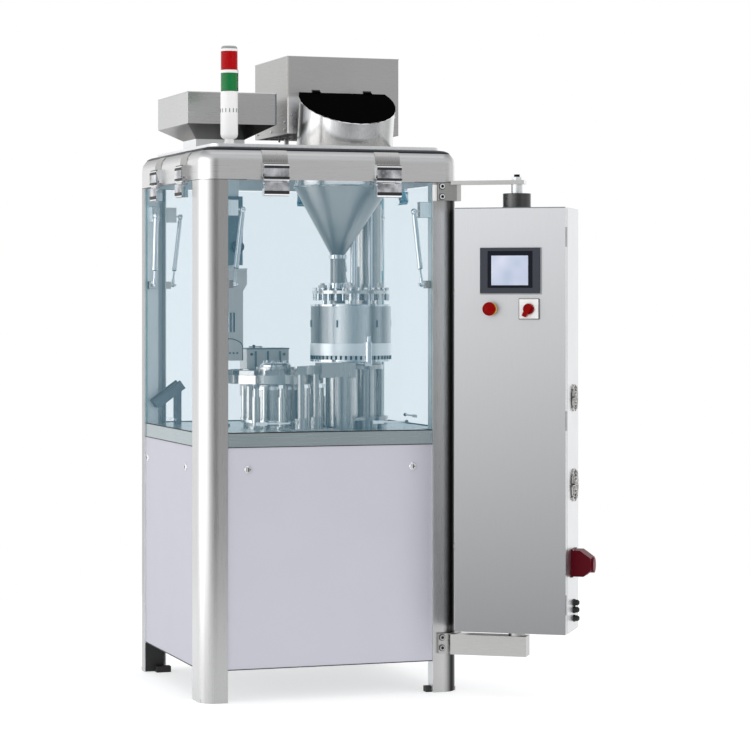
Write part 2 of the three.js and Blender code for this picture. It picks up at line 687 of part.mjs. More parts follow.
addPiece(machine, 'turret', turret(), BRIGHT_STEEL);
addPiece(machine, 'turret_housing', turretHousing(), DARK_STEEL);
addPiece(machine, 'closing_station', closingStation(), DARK_STEEL);
addPiece(machine, 'dosing_drum', dosingDrum(), BRIGHT_STEEL);
addPiece(machine, 'tamping_head', tampingHead(), BRIGHT_STEEL);
addPiece(machine, 'dosing_stand', dosingStand(), BRIGHT_STEEL);
addPiece(machine, 'capsule_magazine', capsuleMagazine(), DARK_STEEL);
addPiece(machine, 'magazine_stand', magazineStand(), DARK_STEEL);
addPiece(machine, 'discharge_chute', dischargeChute(), BRIGHT_STEEL);

// ---------------------------------------------------------------- drive below the table
function mainDrive() {
  return join(
    block(230, 480, 270, 520, 122 + GAP, 150), block(250, 460, 290, 500, 140, 640),
    bar(TURRET.x, TURRET.y, 630, TABLE_BOTTOM - 1, 40, 20),
    crossBar(450, 660, 395, 260, 78, 20), block(500, 620, 350, 440, 130, 200));
}

addPiece(machine, 'main_drive', mainDrive(), DARK_STEEL);

// ---------------------------------------------------------------- control cabinet on its arms
// The swivel group's own x runs along the arm, away from the post; -y faces the operator.
const swivel = new THREE.Group();
swivel.position.set(PIVOT.x, PIVOT.y, 0);
swivel.rotation.z = ARM_TURN;
machine.add(swivel);

const HALF_WIDTH = CABINET.width / 2;
const FACE = -CABINET.depth / 2;                       // outer face of the cabinet's door
const BACK = CABINET.depth / 2;
const DOOR_LIP = CABINET.door;

function cabinetShell() {
  const wall = 3;
  const { bottom, top } = CABINET;
  const front = FACE + DOOR_LIP + GAP;
  const shell = cut(
    block(-HALF_WIDTH, HALF_WIDTH, front, BACK, bottom, top),
    block(-HALF_WIDTH + wall, HALF_WIDTH - wall, front - 1, BACK - wall, bottom + wall, top - wall));
  const hub = bar(0, 0, top - 1, top + 45, 43, 28);
  const lowerBush = bar(0, 0, bottom - 8, bottom + 1, 30, 24);
  return cut(join(shell, hub, lowerBush),
    bar(0, 0, top - 10, top + 46, 18, 20), bar(0, 0, bottom - 9, bottom + 10, 18, 20));
}

const SCREEN = { x: 1, z: 1302, width: 186, height: 138 };
const ESTOP = { x: -60, z: 1185 };
const SWITCH = { x: 60, z: 1185, plate: 61 };

function cabinetDoor() {
  const wall = 2;
  const { bottom, top } = CABINET;
  const pan = cut(
    block(-HALF_WIDTH, HALF_WIDTH, FACE, FACE + DOOR_LIP, bottom, top),
    block(-HALF_WIDTH + wall, HALF_WIDTH - wall, FACE + wall, FACE + DOOR_LIP + 1,
      bottom + wall, top - wall));
  const half = SWITCH.plate / 2;
  const plate = block(SWITCH.x - half, SWITCH.x + half, FACE - 5, FACE + 1,
    SWITCH.z - half, SWITCH.z + half);
  const throughHole = (x, z, radius) => {
    const hole = bar(0, 0, -20, 20, radius, 20);
    return hole.rotateX(Math.PI / 2).translate(x, FACE, z);
  };
  return cut(join(pan, plate),
    throughHole(ESTOP.x, ESTOP.z, 11.5), throughHole(SWITCH.x, SWITCH.z, 5.5),
    block(SCREEN.x - 78, SCREEN.x + 78, FACE - 1, FACE + 3, SCREEN.z - 56, SCREEN.z + 56));
}

function touchScreen() {
  const w = SCREEN.width / 2;
  const h = SCREEN.height / 2;
  return join(
    block(SCREEN.x - w, SCREEN.x + w, FACE - 6, FACE - GAP, SCREEN.z - h, SCREEN.z + h),
    block(SCREEN.x - 76, SCREEN.x + 76, FACE - 1, FACE + 38, SCREEN.z - 54, SCREEN.z + 54));
}

// Mushroom push button; its profile runs outwards from the stem inside the door.
function estopButton() {
  const profile = [[0, 0], [11, 0], [11, 30], [20, 34], [20, 42], [16, 48], [0, 50]]
    .map(([radius, z]) => new THREE.Vector2(radius, z));
  const button = new THREE.LatheGeometry(profile, 24);
  return button.rotateX(Math.PI).translate(ESTOP.x, FACE + 20, ESTOP.z);
}

function switchKnob() {
  const turn = (geometry) => geometry.rotateX(Math.PI / 2);
  const hub = turn(bar(0, 0, 5.3, 18, 16, 20));
  const shaft = turn(bar(0, 0, -16, 6, 5, 16));
  const grip = turn(raised([[-6, 15], [6, 15], [8, 0], [6, -26], [-6, -26], [-8, 0]], 5.3, 28));
  grip.rotateY(THREE.MathUtils.degToRad(30));
  return join(hub, shaft, grip).translate(SWITCH.x, FACE, SWITCH.z);
}

// Round-headed mains inlet with a slanted body on the cabinet's outer side.
function powerInlet() {
  const x = HALF_WIDTH + GAP;
  const body = raised([[0, -40], [0, 40], [26, 40], [60, 16], [60, -22], [38, -40]], -36, 36);
  body.rotateX(Math.PI / 2);
  const collar = crossBar(30, 66, 0, -6, 24, 20);
  return join(body, collar).translate(x, 20, 408);
}

addPiece(swivel, 'cabinet_shell', cabinetShell(), CABINET_STEEL);
addPiece(swivel, 'cabinet_door', cabinetDoor(), CABINET_STEEL);
addPiece(swivel, 'touch_screen', touchScreen(), BEZEL);
addPiece(swivel, 'estop_button', estopButton(), RED);
addPiece(swivel, 'main_switch_knob', switchKnob(), RED);
addPiece(swivel, 'power_inlet', powerInlet(), DARK_RED);

// Bracket that wraps the front right post's rounded corner, in the machine's frame.
function postBracket(z0, z1) {
  const corner = arc(WIDTH - CORNER, CORNER, CORNER + GAP, 270, 360, 8);
  return raised([
    [752, -12], [812, -12], [WIDTH + 10, 14], [WIDTH + 10, 62], [WIDTH + GAP, 62],
    ...corner.reverse(), [752, -GAP],
  ], z0, z1);
}

// Turns a piece drawn along the arm into the machine's frame.
function alongArm(geometry) {
  return geometry.rotateZ(ARM_TURN).translate(PIVOT.x, PIVOT.y, 0);
}

const HUB_TOP = CABINET.top + 45;
function upperArm() {
  const plateTop = RING_BOTTOM + 4;
  const arm = block(-ARM_REACH, 26, -21, 21, plateTop - 12, plateTop);
  const stub = bar(0, 0, HUB_TOP - 38, plateTop - 1, 17.5, 20);
  const nut = join(bar(0, 0, plateTop - 1, plateTop + 10, 17, 6),
    bar(0, 0, plateTop + 9, plateTop + 18, 9, 12));
  return join(postBracket(1519, plateTop - 6), alongArm(arm), alongArm(stub), alongArm(nut));
}

function lowerArm() {
  const channel = cut(block(-ARM_REACH, 34, -28, 28, 119, 181),
    block(-ARM_REACH - 1, 30, -24, 24, 110, 177));
  const stub = bar(0, 0, 176, CABINET.bottom + 1, 17.5, 20);
  const washer = bar(0, 0, 180, CABINET.bottom - 8.5, 26, 20);
  return join(postBracket(121, 183), alongArm(channel), alongArm(stub), alongArm(washer));
}

addPiece(machine, 'cabinet_upper_arm', upperArm(), STAINLESS);
addPiece(machine, 'cabinet_lower_arm', lowerArm(), STAINLESS);

// ---------------------------------------------------------------- origin at the box's bottom centre
machine.updateMatrixWorld(true);
const bounds = new THREE.Box3().setFromObject(machine, true);
const centre = bounds.getCenter(new THREE.Vector3());
machine.position.set(-centre.x, -centre.y, -bounds.min.z);

const capsuleFiller = new THREE.Group();
capsuleFiller.add(machine);
export default capsuleFiller;
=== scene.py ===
"""Looks of the capsule filler: materials, small visible parts, floor, light and camera."""

import json
import math

import bmesh
import bpy
from mathutils import Matrix, Vector

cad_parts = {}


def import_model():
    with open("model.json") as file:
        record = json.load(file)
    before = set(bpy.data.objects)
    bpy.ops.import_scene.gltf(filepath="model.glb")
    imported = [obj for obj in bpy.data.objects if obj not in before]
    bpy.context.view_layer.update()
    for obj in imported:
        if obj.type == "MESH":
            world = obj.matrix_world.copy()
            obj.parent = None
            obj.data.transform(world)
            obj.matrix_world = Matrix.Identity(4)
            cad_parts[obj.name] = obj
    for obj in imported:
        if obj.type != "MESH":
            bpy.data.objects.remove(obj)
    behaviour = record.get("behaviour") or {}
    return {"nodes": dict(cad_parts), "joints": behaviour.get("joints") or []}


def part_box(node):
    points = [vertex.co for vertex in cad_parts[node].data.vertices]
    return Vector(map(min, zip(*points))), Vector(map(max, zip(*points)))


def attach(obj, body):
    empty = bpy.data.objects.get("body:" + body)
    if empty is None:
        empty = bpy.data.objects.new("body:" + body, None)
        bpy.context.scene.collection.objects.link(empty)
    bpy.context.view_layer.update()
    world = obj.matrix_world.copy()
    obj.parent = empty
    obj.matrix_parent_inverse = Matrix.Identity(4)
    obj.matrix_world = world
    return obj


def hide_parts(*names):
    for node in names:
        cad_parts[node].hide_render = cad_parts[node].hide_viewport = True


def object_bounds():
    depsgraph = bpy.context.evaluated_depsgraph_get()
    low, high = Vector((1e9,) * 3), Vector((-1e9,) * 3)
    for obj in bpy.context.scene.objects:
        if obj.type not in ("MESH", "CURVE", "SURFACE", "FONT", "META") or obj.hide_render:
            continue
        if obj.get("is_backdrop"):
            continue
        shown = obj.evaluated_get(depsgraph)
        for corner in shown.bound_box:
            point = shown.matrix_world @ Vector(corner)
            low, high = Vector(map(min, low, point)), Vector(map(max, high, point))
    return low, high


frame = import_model()
NODES = frame["nodes"]
JOINTS = {joint["name"]: joint for joint in frame["joints"]}
CAD_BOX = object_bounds()
MM = 0.001

# ---------------- places, in millimetres
# Everything is placed in the machine's own frame: x = 0 left face, y = 0 front face, z = 0 floor.
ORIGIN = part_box("post_front_left")[0]


def local_box(node):
    """Lowest and highest corner of a CAD node in the machine's frame, in millimetres."""
    low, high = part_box(node)
    return (low - ORIGIN) / MM, (high - ORIGIN) / MM


def joint_place(name):
    return (Vector(JOINTS[name]["pos_m"]) - ORIGIN) / MM


WIDTH = local_box("post_front_right")[1].x
DEPTH = local_box("post_back_left")[1].y
RING_LOW = local_box("top_frame")[0].z
HINGE_Z = joint_place("front_door_hinge").z
RING_HIGH, ROOF = [corner.z for corner in local_box("top_plate")]
TABLE_LOW, TABLE = [corner.z for corner in local_box("work_table")]
PANEL_LOW = local_box("lower_panel_front")[0].z
CORNERS = ("front_left", "front_right", "back_left", "back_right")
CORNER_RADIUS = 55
PIVOT = joint_place("cabinet_swivel")
PRESS = Vector(JOINTS["estop_press"]["axis"])
ARM_TURN = math.atan2(-PRESS.x, PRESS.y)


def turned_frame(x, y, turn):
    return MACHINE @ Matrix.Translation((x, y, 0)) @ Matrix.Rotation(turn, 4, "Z")


MACHINE = Matrix.Translation(ORIGIN) @ Matrix.Diagonal((MM, MM, MM, 1))
SWIVEL = turned_frame(PIVOT.x, PIVOT.y, ARM_TURN)

# Each side: x runs along the face seen from outside, y runs inwards.
SIDES = {
    "front": turned_frame(0, 0, 0),
    "left": turned_frame(0, DEPTH, -math.pi / 2),
    "right": turned_frame(WIDTH, 0, math.pi / 2),
    "back": turned_frame(WIDTH, DEPTH, math.pi),
}


def span(side):
    """Inner edges of the two posts of a side, along that side."""
    inverse = SIDES[side].inverted()
    low, high = sorted((inverse @ corner).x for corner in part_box("lower_panel_" + side))
    return low - 0.3, high + 0.3


def swivel_box(node):
    """Box of a CAD node in the cabinet's own turned frame."""
    inverse = SWIVEL.inverted()
    columns = list(zip(*[inverse @ v.co for v in NODES[node].data.vertices]))
    return Vector([min(column) for column in columns]), Vector([max(column) for column in columns])


# ---------------- materials
def add_node(tree, kind, sockets, **settings):
    """New shader node. A socket is given a constant, or another node's output to link."""
    made = tree.nodes.new("ShaderNode" + kind)
    for key, value in settings.items():
        setattr(made, key, value)
    for key, value in sockets.items():
        if isinstance(value, bpy.types.NodeSocket):
            tree.links.new(value, made.inputs[key])
        else:
            made.inputs[key].default_value = value
    return made


def new_material(name, **sockets):
    mat = bpy.data.materials.new(name)
    mat.use_nodes = True
    shader = mat.node_tree.nodes["Principled BSDF"]
    for key, value in sockets.items():
        shader.inputs[key.replace("_", " ")].default_value = value
    return mat, mat.node_tree, shader


def noise(tree, scale, detail=3.0, stretch=(1, 1, 1)):
    """Noise in metres, stretched along an axis by a small number for that axis."""
    coords = add_node(tree, "TexCoord", {}).outputs["Object"]
    mapping = add_node(tree, "Mapping", {"Scale": stretch, "Vector": coords}).outputs["Vector"]
    sockets = {"Scale": scale, "Detail": detail, "Roughness": 0.55, "Vector": mapping}
    return add_node(tree, "TexNoise", sockets).outputs["Fac"]


def ramp(tree, source, *stops):
    """Colour ramp. The colour of a stop is one number where it is a grey."""
    made = add_node(tree, "ValToRGB", {"Fac": source})
    elements = made.color_ramp.elements
    while len(elements) < len(stops):
        elements.new(0.5)
    for element, (place, color) in zip(elements, stops):
        element.position = place
        element.color = (*color, 1) if isinstance(color, tuple) else (color, color, color, 1)
    return made.outputs["Color"]


def map_range(tree, source, from_low, from_high, low=0.0, high=1.0):
    sockets = {"Value": source, "From Min": from_low, "From Max": from_high, "To Min": low, "To Max": high}
    return add_node(tree, "MapRange", sockets).outputs["Result"]


def mix(tree, factor, first, second, blend="MIX"):
    sockets = {"Factor": factor, "A": first, "B": second}
    return add_node(tree, "Mix", sockets, data_type="RGBA", blend_type=blend).outputs["Result"]


def finish(tree, shader, color, shine, rough_low, rough_high):
    """Base colour, and a roughness that follows a noise."""
    tree.links.new(color, shader.inputs["Base Color"])
    tree.links.new(map_range(tree, shine, 0.3, 0.7, rough_low, rough_high), shader.inputs["Roughness"])


def surface(name, color, rough, grain, lines, contrast, bump, smudge=0.05, **sockets):
    """A finish with fine grain, slow smudges, and roughness and bump that follow them."""
    mat, tree, shader = new_material(name, **sockets)
    fine = noise(tree, grain, stretch=lines)
    slow = noise(tree, 5, detail=2)
    dark, light = [tuple(min(1.0, channel * amount) for channel in color)
                   for amount in (1 - contrast, 1 + contrast)]
    base = ramp(tree, fine, (0.3, dark), (0.7, light))
    cloud = ramp(tree, slow, (0.3, 1 - smudge), (0.7, 1))
    finish(tree, shader, mix(tree, 1, base, cloud, "MULTIPLY"), fine, rough * 0.85, rough * 1.15)
    height = add_node(tree, "Bump", {"Strength": bump, "Distance": 0.0003, "Height": fine})
    tree.links.new(height.outputs["Normal"], shader.inputs["Normal"])
    return mat


UPRIGHT = (1, 1, 0.015)          # grain lines that run up and down
LEVEL = (0.015, 0.015, 1)        # grain lines that run round the machine
EVEN = (1, 1, 1)


def steel(name, color, rough, grain, contrast=0.06, lines=UPRIGHT, bump=0.1, metallic=1.0):
    return surface(name, color, rough, grain, lines, contrast, bump, Metallic=metallic)


def coating(name, color, rough, grain, contrast, bump, specular=0.5, smudge=0.05):
    """Paint, plastic or rubber."""
    return surface(name, color, rough, grain, EVEN, contrast, bump, smudge, Specular_IOR_Level=specular)


def fading_steel(name, axis, start, end, *stops, lines=UPRIGHT, grain=700, dim=0.93,
                 rough=(0.26, 0.34), metallic=1.0):
    """Brushed steel whose tone changes between two machine positions along an axis."""
    mat, tree, shader = new_material(name, Metallic=metallic)
    fine = noise(tree, grain, stretch=lines)
    coords = add_node(tree, "TexCoord", {}).outputs["Object"]
    along = add_node(tree, "SeparateXYZ", {"Vector": coords}).outputs[axis.upper()]
    offset = getattr(ORIGIN, axis)
    share = map_range(tree, along, offset + start * MM, offset + end * MM)
    grained = mix(tree, 1, ramp(tree, share, *stops), ramp(tree, fine, (0.3, dim), (0.7, 1)), "MULTIPLY")
    finish(tree, shader, grained, fine, *rough)
    return mat


def screen_finish():
    """Unlit display behind a clear front, pale with a soft cloud."""
    mat, tree, shader = new_material("display", Coat_Weight=0.5)
    cloud = noise(tree, 14, detail=1)
    finish(tree, shader, ramp(tree, cloud, (0.3, (0.42, 0.49, 0.64)), (0.7, (0.62, 0.65, 0.78))),
           cloud, 0.16, 0.24)
    return mat


STAINLESS_UPRIGHT = steel("stainless_upright", (0.42, 0.42, 0.425), 0.24, 900, 0.02, bump=0.05)
STAINLESS_LEVEL = steel("stainless_level", (0.57, 0.57, 0.575), 0.3, 700, 0.03, LEVEL)
STAINLESS_DEEP = steel("stainless_deep", (0.36, 0.36, 0.35), 0.3, 700)
STAINLESS_PALE = steel("stainless_pale", (0.85, 0.87, 0.88), 0.4, 700, metallic=0.7)
HOPPER_STEEL = steel("hopper_steel", (0.6, 0.605, 0.61), 0.2, 420, 0.1)
BRIGHT = steel("bright_steel", (0.72, 0.7, 0.675), 0.2, 500, 0.04)
CONE_STEEL = steel("cone_steel", (0.35, 0.34, 0.33), 0.33, 420, 0.08)
BRIGHT_DIM = steel("bright_steel_dim", (0.52, 0.505, 0.49), 0.24, 500)
MAG_STEEL = steel("magazine_steel", (0.57, 0.53, 0.505), 0.4, 500, metallic=0.6)
CLOSING_STEEL = steel("closing_steel", (0.76, 0.715, 0.685), 0.4, 500, metallic=0.6)
ARM_STEEL = steel("arm_steel", (0.44, 0.44, 0.43), 0.3, 700, 0.03, LEVEL)
CABINET_SIDE_LIT = steel("cabinet_side", (0.64, 0.65, 0.66), 0.32, 900, 0.02)
POLISHED = steel("polished_plate", (0.5, 0.51, 0.54), 0.1, 22, 0.75, EVEN, 0.02)
DRUM_BAND = steel("drum_band", (0.95, 0.96, 0.97), 0.35, 300, 0.02, EVEN, metallic=0.6)
CHROME = steel("chrome", (0.82, 0.83, 0.85), 0.07, 250, 0.03, EVEN, 0.03)
TABLE_STEEL = steel("table_steel", (0.4, 0.48, 0.51), 0.24, 600, lines=LEVEL)
# Dark steel, also used for the drum windows and beacon vents painted dark as shade; its slot also holds the
# painted shadow strips.
DARK_STEEL_AND_SHADE = steel("dark_steel", (0.17, 0.2, 0.22), 0.33, 500, 0.08, metallic=0.9)
HUB_STEEL = steel("hub_steel", (0.1, 0.1, 0.1), 0.3, 500, 0.1, LEVEL, metallic=0.9)
CAST = coating("cast_paint", (0.07, 0.085, 0.1), 0.55, 260, 0.15, 0.4)
PANEL_PAINT = coating("panel_paint", (0.53, 0.527, 0.59), 0.5, 900, 0.015, 0.06, 0.1, 0.02)
LID_BLACK = coating("lid_black", (0.002, 0.002, 0.002), 0.6, 300, 0.3, 0.05, 0.0)
# Black rubber, also used for black strips painted as shadow in hinge gaps, in a post's channel, under panel
# edges and in key slots.
RUBBER_AND_SHADOW = coating("black_rubber_and_painted_shadow", (0.012, 0.012, 0.013), 0.6, 500, 0.3, 0.3)
BEZEL = coating("bezel_plastic", (0.016, 0.02, 0.034), 0.45, 1200, 0.08, 0.2)
# Near-black trim, also used for the shadow line under the roof plate and for bores, slots, sockets and a fan
# mouth painted black as shade.
BLACK_TRIM_AND_SHADE = coating("screen_border", (0.004, 0.005, 0.012), 0.35, 600, 0.1, 0.02, 0.12)
RED = coating("red_plastic", (0.24, 0.001, 0.001), 0.32, 600, 0.05, 0.04, 0.05)
DARK_RED = coating("dark_red_plastic", (0.09, 0.0, 0.006), 0.4, 600, 0.08, 0.06, 0.1)
YELLOW = coating("yellow_plastic", (0.75, 0.5, 0.03), 0.4, 600, 0.04, 0.04)
WHITE = coating("white_plastic", (0.86, 0.86, 0.85), 0.35, 600, 0.01, 0.03, smudge=0.02)
GREY_PLASTIC = coating("grey_plastic", (0.3, 0.31, 0.31), 0.4, 600, 0.04, 0.04)
GREEN_LENS = coating("green_lens", (0.0, 0.18, 0.04), 0.22, 300, 0.12, 0.05, 0.3)
RED_LENS = coating("red_lens", (0.42, 0.001, 0.003), 0.22, 300, 0.12, 0.05, 0.12)
# The pane's blue tint is a glow (emission) in place of lit colour: painted light, so the tint never falls into
# shadow.
GLASS = surface("pane_glass", (0.02, 0.07, 0.1), 0.04, 3, EVEN, 0.06, 0.0, 0.0, Alpha=0.1,
                Emission_Color=(0.09, 0.33, 0.47, 1), Emission_Strength=1.0)
GLASS_EDGE = surface("pane_edge", (0.3, 0.52, 0.55), 0.15, 80, EVEN, 0.1, 0.02, Alpha=0.75)
DISPLAY = screen_finish()

# Cabinet sheet painted darker towards its bottom and lighter towards its top: painted light and shade.
CABINET = fading_steel("cabinet_sheet", "z", *[corner.z for corner in local_box("cabinet_door")],
                       (0.0, (0.275, 0.278, 0.285)), (0.5, (0.44, 0.447, 0.455)),
                       (1.0, (0.62, 0.628, 0.645)),
                       grain=800, dim=0.95, rough=(0.34, 0.46), metallic=0.85)
# Painted shade: the front-right post goes nearly black towards its corner beside the cabinet, standing in for
# the shadowed gap.
RIGHT_CORNER_SHADE = fading_steel("post_beside_cabinet", "x", WIDTH - 88, WIDTH - 20, (0.0, 0.51), (0.5, 0.56),
                            (0.64, 0.44), (0.78, 0.2), (0.88, 0.04), (0.96, 0.008))
# Painted highlight: the front-left post is paler over its rounded corner than on its front.
LEFT_CORNER_HIGHLIGHT = fading_steel("post_front_corner", "x", 0, 82, (0.0, 0.64), (0.12, 0.62), (0.2, 0.5),
                           (1.0, 0.5))
# Painted shade: the head frame's steel darkens towards the top of its roll.
RING_TOP_SHADE = fading_steel("ring_steel", "z", 1610, 1673, (0.0, 0.74), (0.4, 0.74), (0.6, 0.55),
                          (0.8, 0.32), (1.0, 0.22), lines=LEVEL)
# Painted reflections: light and dark upright bands across the dosing drum, laid along x.
DRUM_PAINTED_REFLECTIONS = fading_steel("drum_steel", "x", 455, 711, (0.0, 0.24), (0.1, 0.28), (0.17, 0.72),
                          (0.56, 0.78), (0.62, 0.42), (0.72, 0.54), (0.78, 0.32), (0.86, 0.5), (1.0, 0.4))
# Painted shade and reflection: the tray's sloping underside darkens to near black towards its right.
TRAY_SLOPE_SHADE = fading_steel("tray_underside", "x", 40, 330, (0.0, 0.3), (0.35, 0.26), (0.55, 0.08),
                          (0.8, 0.01))

# Slot a small part would get from its material, where its own line names no other; piece() works it out but
# does not keep it.
SLOT_OF = {mat.name: slot for slot, mats in (
    ("chrome", (CHROME, POLISHED)), ("bright_steel", (BRIGHT, BRIGHT_DIM, STAINLESS_PALE)),
    ("stainless", (STAINLESS_LEVEL, STAINLESS_DEEP)), ("dark_steel", (DARK_STEEL_AND_SHADE, HUB_STEEL)),
    ("cast_drive", (CAST,))) for mat in mats}


# ---------------- CAD nodes
def modify(obj, name, kind, **settings):
    modifier = obj.modifiers.new(name, kind)
    for key, value in settings.items():
        setattr(modifier, key, value)


def soften(obj, width, degrees, harden):
    """Rounds the edges that are sharper than an angle."""
    modify(obj, "edges", "BEVEL", width=width * MM, segments=2, limit_method="ANGLE",
           angle_limit=math.radians(degrees), harden_normals=harden)


def dress(node, mat, bevel=0.8):
    """One finish over a CAD node, with softened edges and smooth shading."""
    obj = NODES[node]
    obj.data.materials.clear()
    obj.data.materials.append(mat)
    for face in obj.data.polygons:
        face.material_index = 0
        face.use_smooth = bevel > 0
    modify(obj, "weld", "WELD", merge_threshold=1e-5)
    if bevel:
        modify(obj, "flat", "DECIMATE", decimate_type="DISSOLVE", angle_limit=math.radians(0.5),
               delimit={"MATERIAL"})
        soften(obj, bevel, 35, False)
        modify(obj, "normals", "WEIGHTED_NORMAL", mode="FACE_AREA", weight=100)


def paint(node, mat, test, matrix=MACHINE):
    """Gives another material to the faces whose corners all pass the test in a local frame."""
    mesh = NODES[node].data
    mesh.materials.append(mat)
    inverse = matrix.inverted()
    inside = [test(inverse @ v.co) for v in mesh.vertices]
    for face in mesh.polygons:
        if all(inside[i] for i in face.vertices):
            face.material_index = len(mesh.materials) - 1


def paint_inside(node, mat):
    """Gives another material to the upright faces that look towards the machine's middle."""
    mesh = NODES[node].data
    mesh.materials.append(mat)
    middle = MACHINE @ Vector((WIDTH / 2, DEPTH / 2, 0))
    for face in mesh.polygons:
        inward = middle - face.center
        if abs(face.normal.z) < 0.5 and face.normal.xy.dot(inward.xy) > 0:
            face.material_index = len(mesh.materials) - 1


FINISHES = {
    "post_front_left": (LEFT_CORNER_HIGHLIGHT, 1.0), "post_front_right": (RIGHT_CORNER_SHADE, 1.0),
    "post_back_left": (STAINLESS_UPRIGHT, 1.0), "post_back_right": (STAINLESS_UPRIGHT, 1.0),
    "top_frame": (RING_TOP_SHADE, 0.6), "top_plate": (BRIGHT, 0.6), "work_table": (TABLE_STEEL, 1.2),
    "base_plate": (DARK_STEEL_AND_SHADE, 1.0), "capsule_hopper": (STAINLESS_LEVEL, 0.8),
    "feeder_cover": (STAINLESS_LEVEL, 1.0), "powder_hopper": (HOPPER_STEEL, 0.4),
    "feeder_column": (BRIGHT_DIM, 0.5), "hopper_lid": (LID_BLACK, 0.5), "turret": (BRIGHT, 0.8),
    "turret_housing": (BRIGHT_DIM, 0.8), "closing_station": (CLOSING_STEEL, 1.0),
    "dosing_drum": (DRUM_PAINTED_REFLECTIONS, 0.6), "tamping_head": (BRIGHT, 0.6), "dosing_stand": (BRIGHT_DIM, 0.6),
    "capsule_magazine": (MAG_STEEL, 0.8), "magazine_stand": (MAG_STEEL, 0.8),
    "discharge_chute": (DARK_STEEL_AND_SHADE, 0.5), "main_drive": (CAST, 2.0), "cabinet_shell": (CABINET, 1.5),
    "cabinet_door": (CABINET, 1.2), "touch_screen": (BEZEL, 1.6), "estop_button": (RED, 1.5),
    "main_switch_knob": (RED, 1.2), "power_inlet": (DARK_RED, 2.0),
    "cabinet_upper_arm": (ARM_STEEL, 0.8), "cabinet_lower_arm": (ARM_STEEL, 0.8),
}
for node, (mat, bevel) in FINISHES.items():
    dress(node, mat, bevel)

for corner in CORNERS:
    post = "post_" + corner
    # Painted light: the post's faces that look into the machine are made paler.
    paint_inside(post, STAINLESS_PALE)
    if corner == "front_right":
        paint(post, STAINLESS_DEEP, lambda p: p.z < 124)
    paint(post, RUBBER_AND_SHADOW, lambda p: p.z < 62 and 30 < p.x < WIDTH - 30 and 29 < p.y < DEPTH - 29)
    paint(post, BRIGHT, lambda p: 1462 < p.z < 1520)

# Painted light: the head frame's faces that look into the machine are made paler.
paint_inside("top_frame", STAINLESS_PALE)
for side, matrix in SIDES.items():
    door = "glass_door_" + side
    dress("lower_panel_" + side, PANEL_PAINT, 0.8)
    dress(door, GLASS, 0)
    paint(door, GLASS_EDGE, lambda p: p.z < TABLE + 3.1, matrix)
    for edge in span(side):
        paint(door, GLASS_EDGE, lambda p, edge=edge: abs(p.x - edge) < 2.1 and p.y < 10.1, matrix)
    paint(door, BRIGHT, lambda p: p.y > 9.99 and abs(p.z - 1260) < 13, matrix)
    paint(door, CHROME, lambda p: p.y < 5.1 and p.z > 1520 and abs(p.y - 4) > 0.1, matrix)
    for number in (1, 2):
        if f"hinge_clamp_{side}_{number}" in NODES:
            dress(f"hinge_clamp_{side}_{number}", CHROME, 0.5)
        dress(f"strut_cylinder_{side}_{number}", CHROME, 0.3)
        dress(f"strut_rod_{side}_{number}", CHROME, 0.3)
    paint("top_frame", CHROME, lambda p: p.y < -1.5 and p.z < RING_LOW + 60, matrix)

TRAY_LOW, TRAY_HIGH = local_box("capsule_hopper")
TRAY_WALL = ROOF + 83
FEEDER_LOW, FEEDER_HIGH = local_box("feeder_cover")
ARM_HIGH = local_box("cabinet_upper_arm")[1].z
CABINET_LOW, CABINET_HIGH = swivel_box("cabinet_shell")
DOOR_LOW, DOOR_HIGH = swivel_box("cabinet_door")
CABINET_TOP, CABINET_FLOOR = DOOR_HIGH.z, DOOR_LOW.z
FACE = swivel_box("estop_button")[1].y - 20          # outer face of the cabinet's door
# Painted shade on the tray's sloping underside.
paint("capsule_hopper", TRAY_SLOPE_SHADE, lambda p: ROOF + 38 < p.z < ROOF + 84)
# Painted highlight: the tray's neck just above the roof is pale steel.
paint("capsule_hopper", STAINLESS_PALE, lambda p: p.z < ROOF + 44)
# Painted shade: the tray's front wall and the feeder cover's left face take a darker steel than their other
# faces.
paint("capsule_hopper", ARM_STEEL, lambda p: p.y < TRAY_LOW.y + 1 and p.z > TRAY_WALL)
paint("feeder_cover", ARM_STEEL, lambda p: p.x < FEEDER_LOW.x + 1)
# Painted shade: the hopper's lower cone is darker steel than the cylinder above.
paint("powder_hopper", CONE_STEEL, lambda p: p.z < RING_HIGH - 60)
paint("powder_hopper", CHROME, lambda p: p.z < 1352)
# Painted highlight: the upper arm's bar is paler steel than its stub and bracket.
paint("cabinet_upper_arm", STAINLESS_PALE, lambda p: p.x > -165, SWIVEL)
paint("cabinet_upper_arm", ARM_STEEL, lambda p: p.xy.length < 24 and p.z < ARM_HIGH - 31, SWIVEL)
paint("cabinet_upper_arm", BLACK_TRIM_AND_SHADE, lambda p: p.xy.length < 24 and p.z > ARM_HIGH - 17, SWIVEL)
# Painted light: the cabinet's right side and the door's right edge take a lighter, even steel than its front.
paint("cabinet_shell", CABINET_SIDE_LIT, lambda p: p.x > CABINET_HIGH.x - 1, SWIVEL)
paint("cabinet_door", CABINET_SIDE_LIT, lambda p: p.x > DOOR_HIGH.x - 3, SWIVEL)
paint("cabinet_shell", HUB_STEEL, lambda p: p.z > CABINET_TOP - 0.5 and p.xy.length < 46, SWIVEL)
paint("cabinet_shell", HUB_STEEL, lambda p: p.z < CABINET_FLOOR + 0.5 and p.xy.length < 34, SWIVEL)
paint("cabinet_door", WHITE, lambda p: p.y < FACE - 1 and p.z < 1230, SWIVEL)


# ---------------- building small parts
def circle(count, radius=1.0, start=0.0):
    """Points round a circle, as an x and a y for each, from an angle in degrees."""
    for i in range(count):
        angle = math.radians(start + 360 * i / count)
        yield radius * math.cos(angle), radius * math.sin(angle)


def facing(direction):
    return Vector(direction).to_track_quat("Z", "Y").to_matrix().to_4x4()


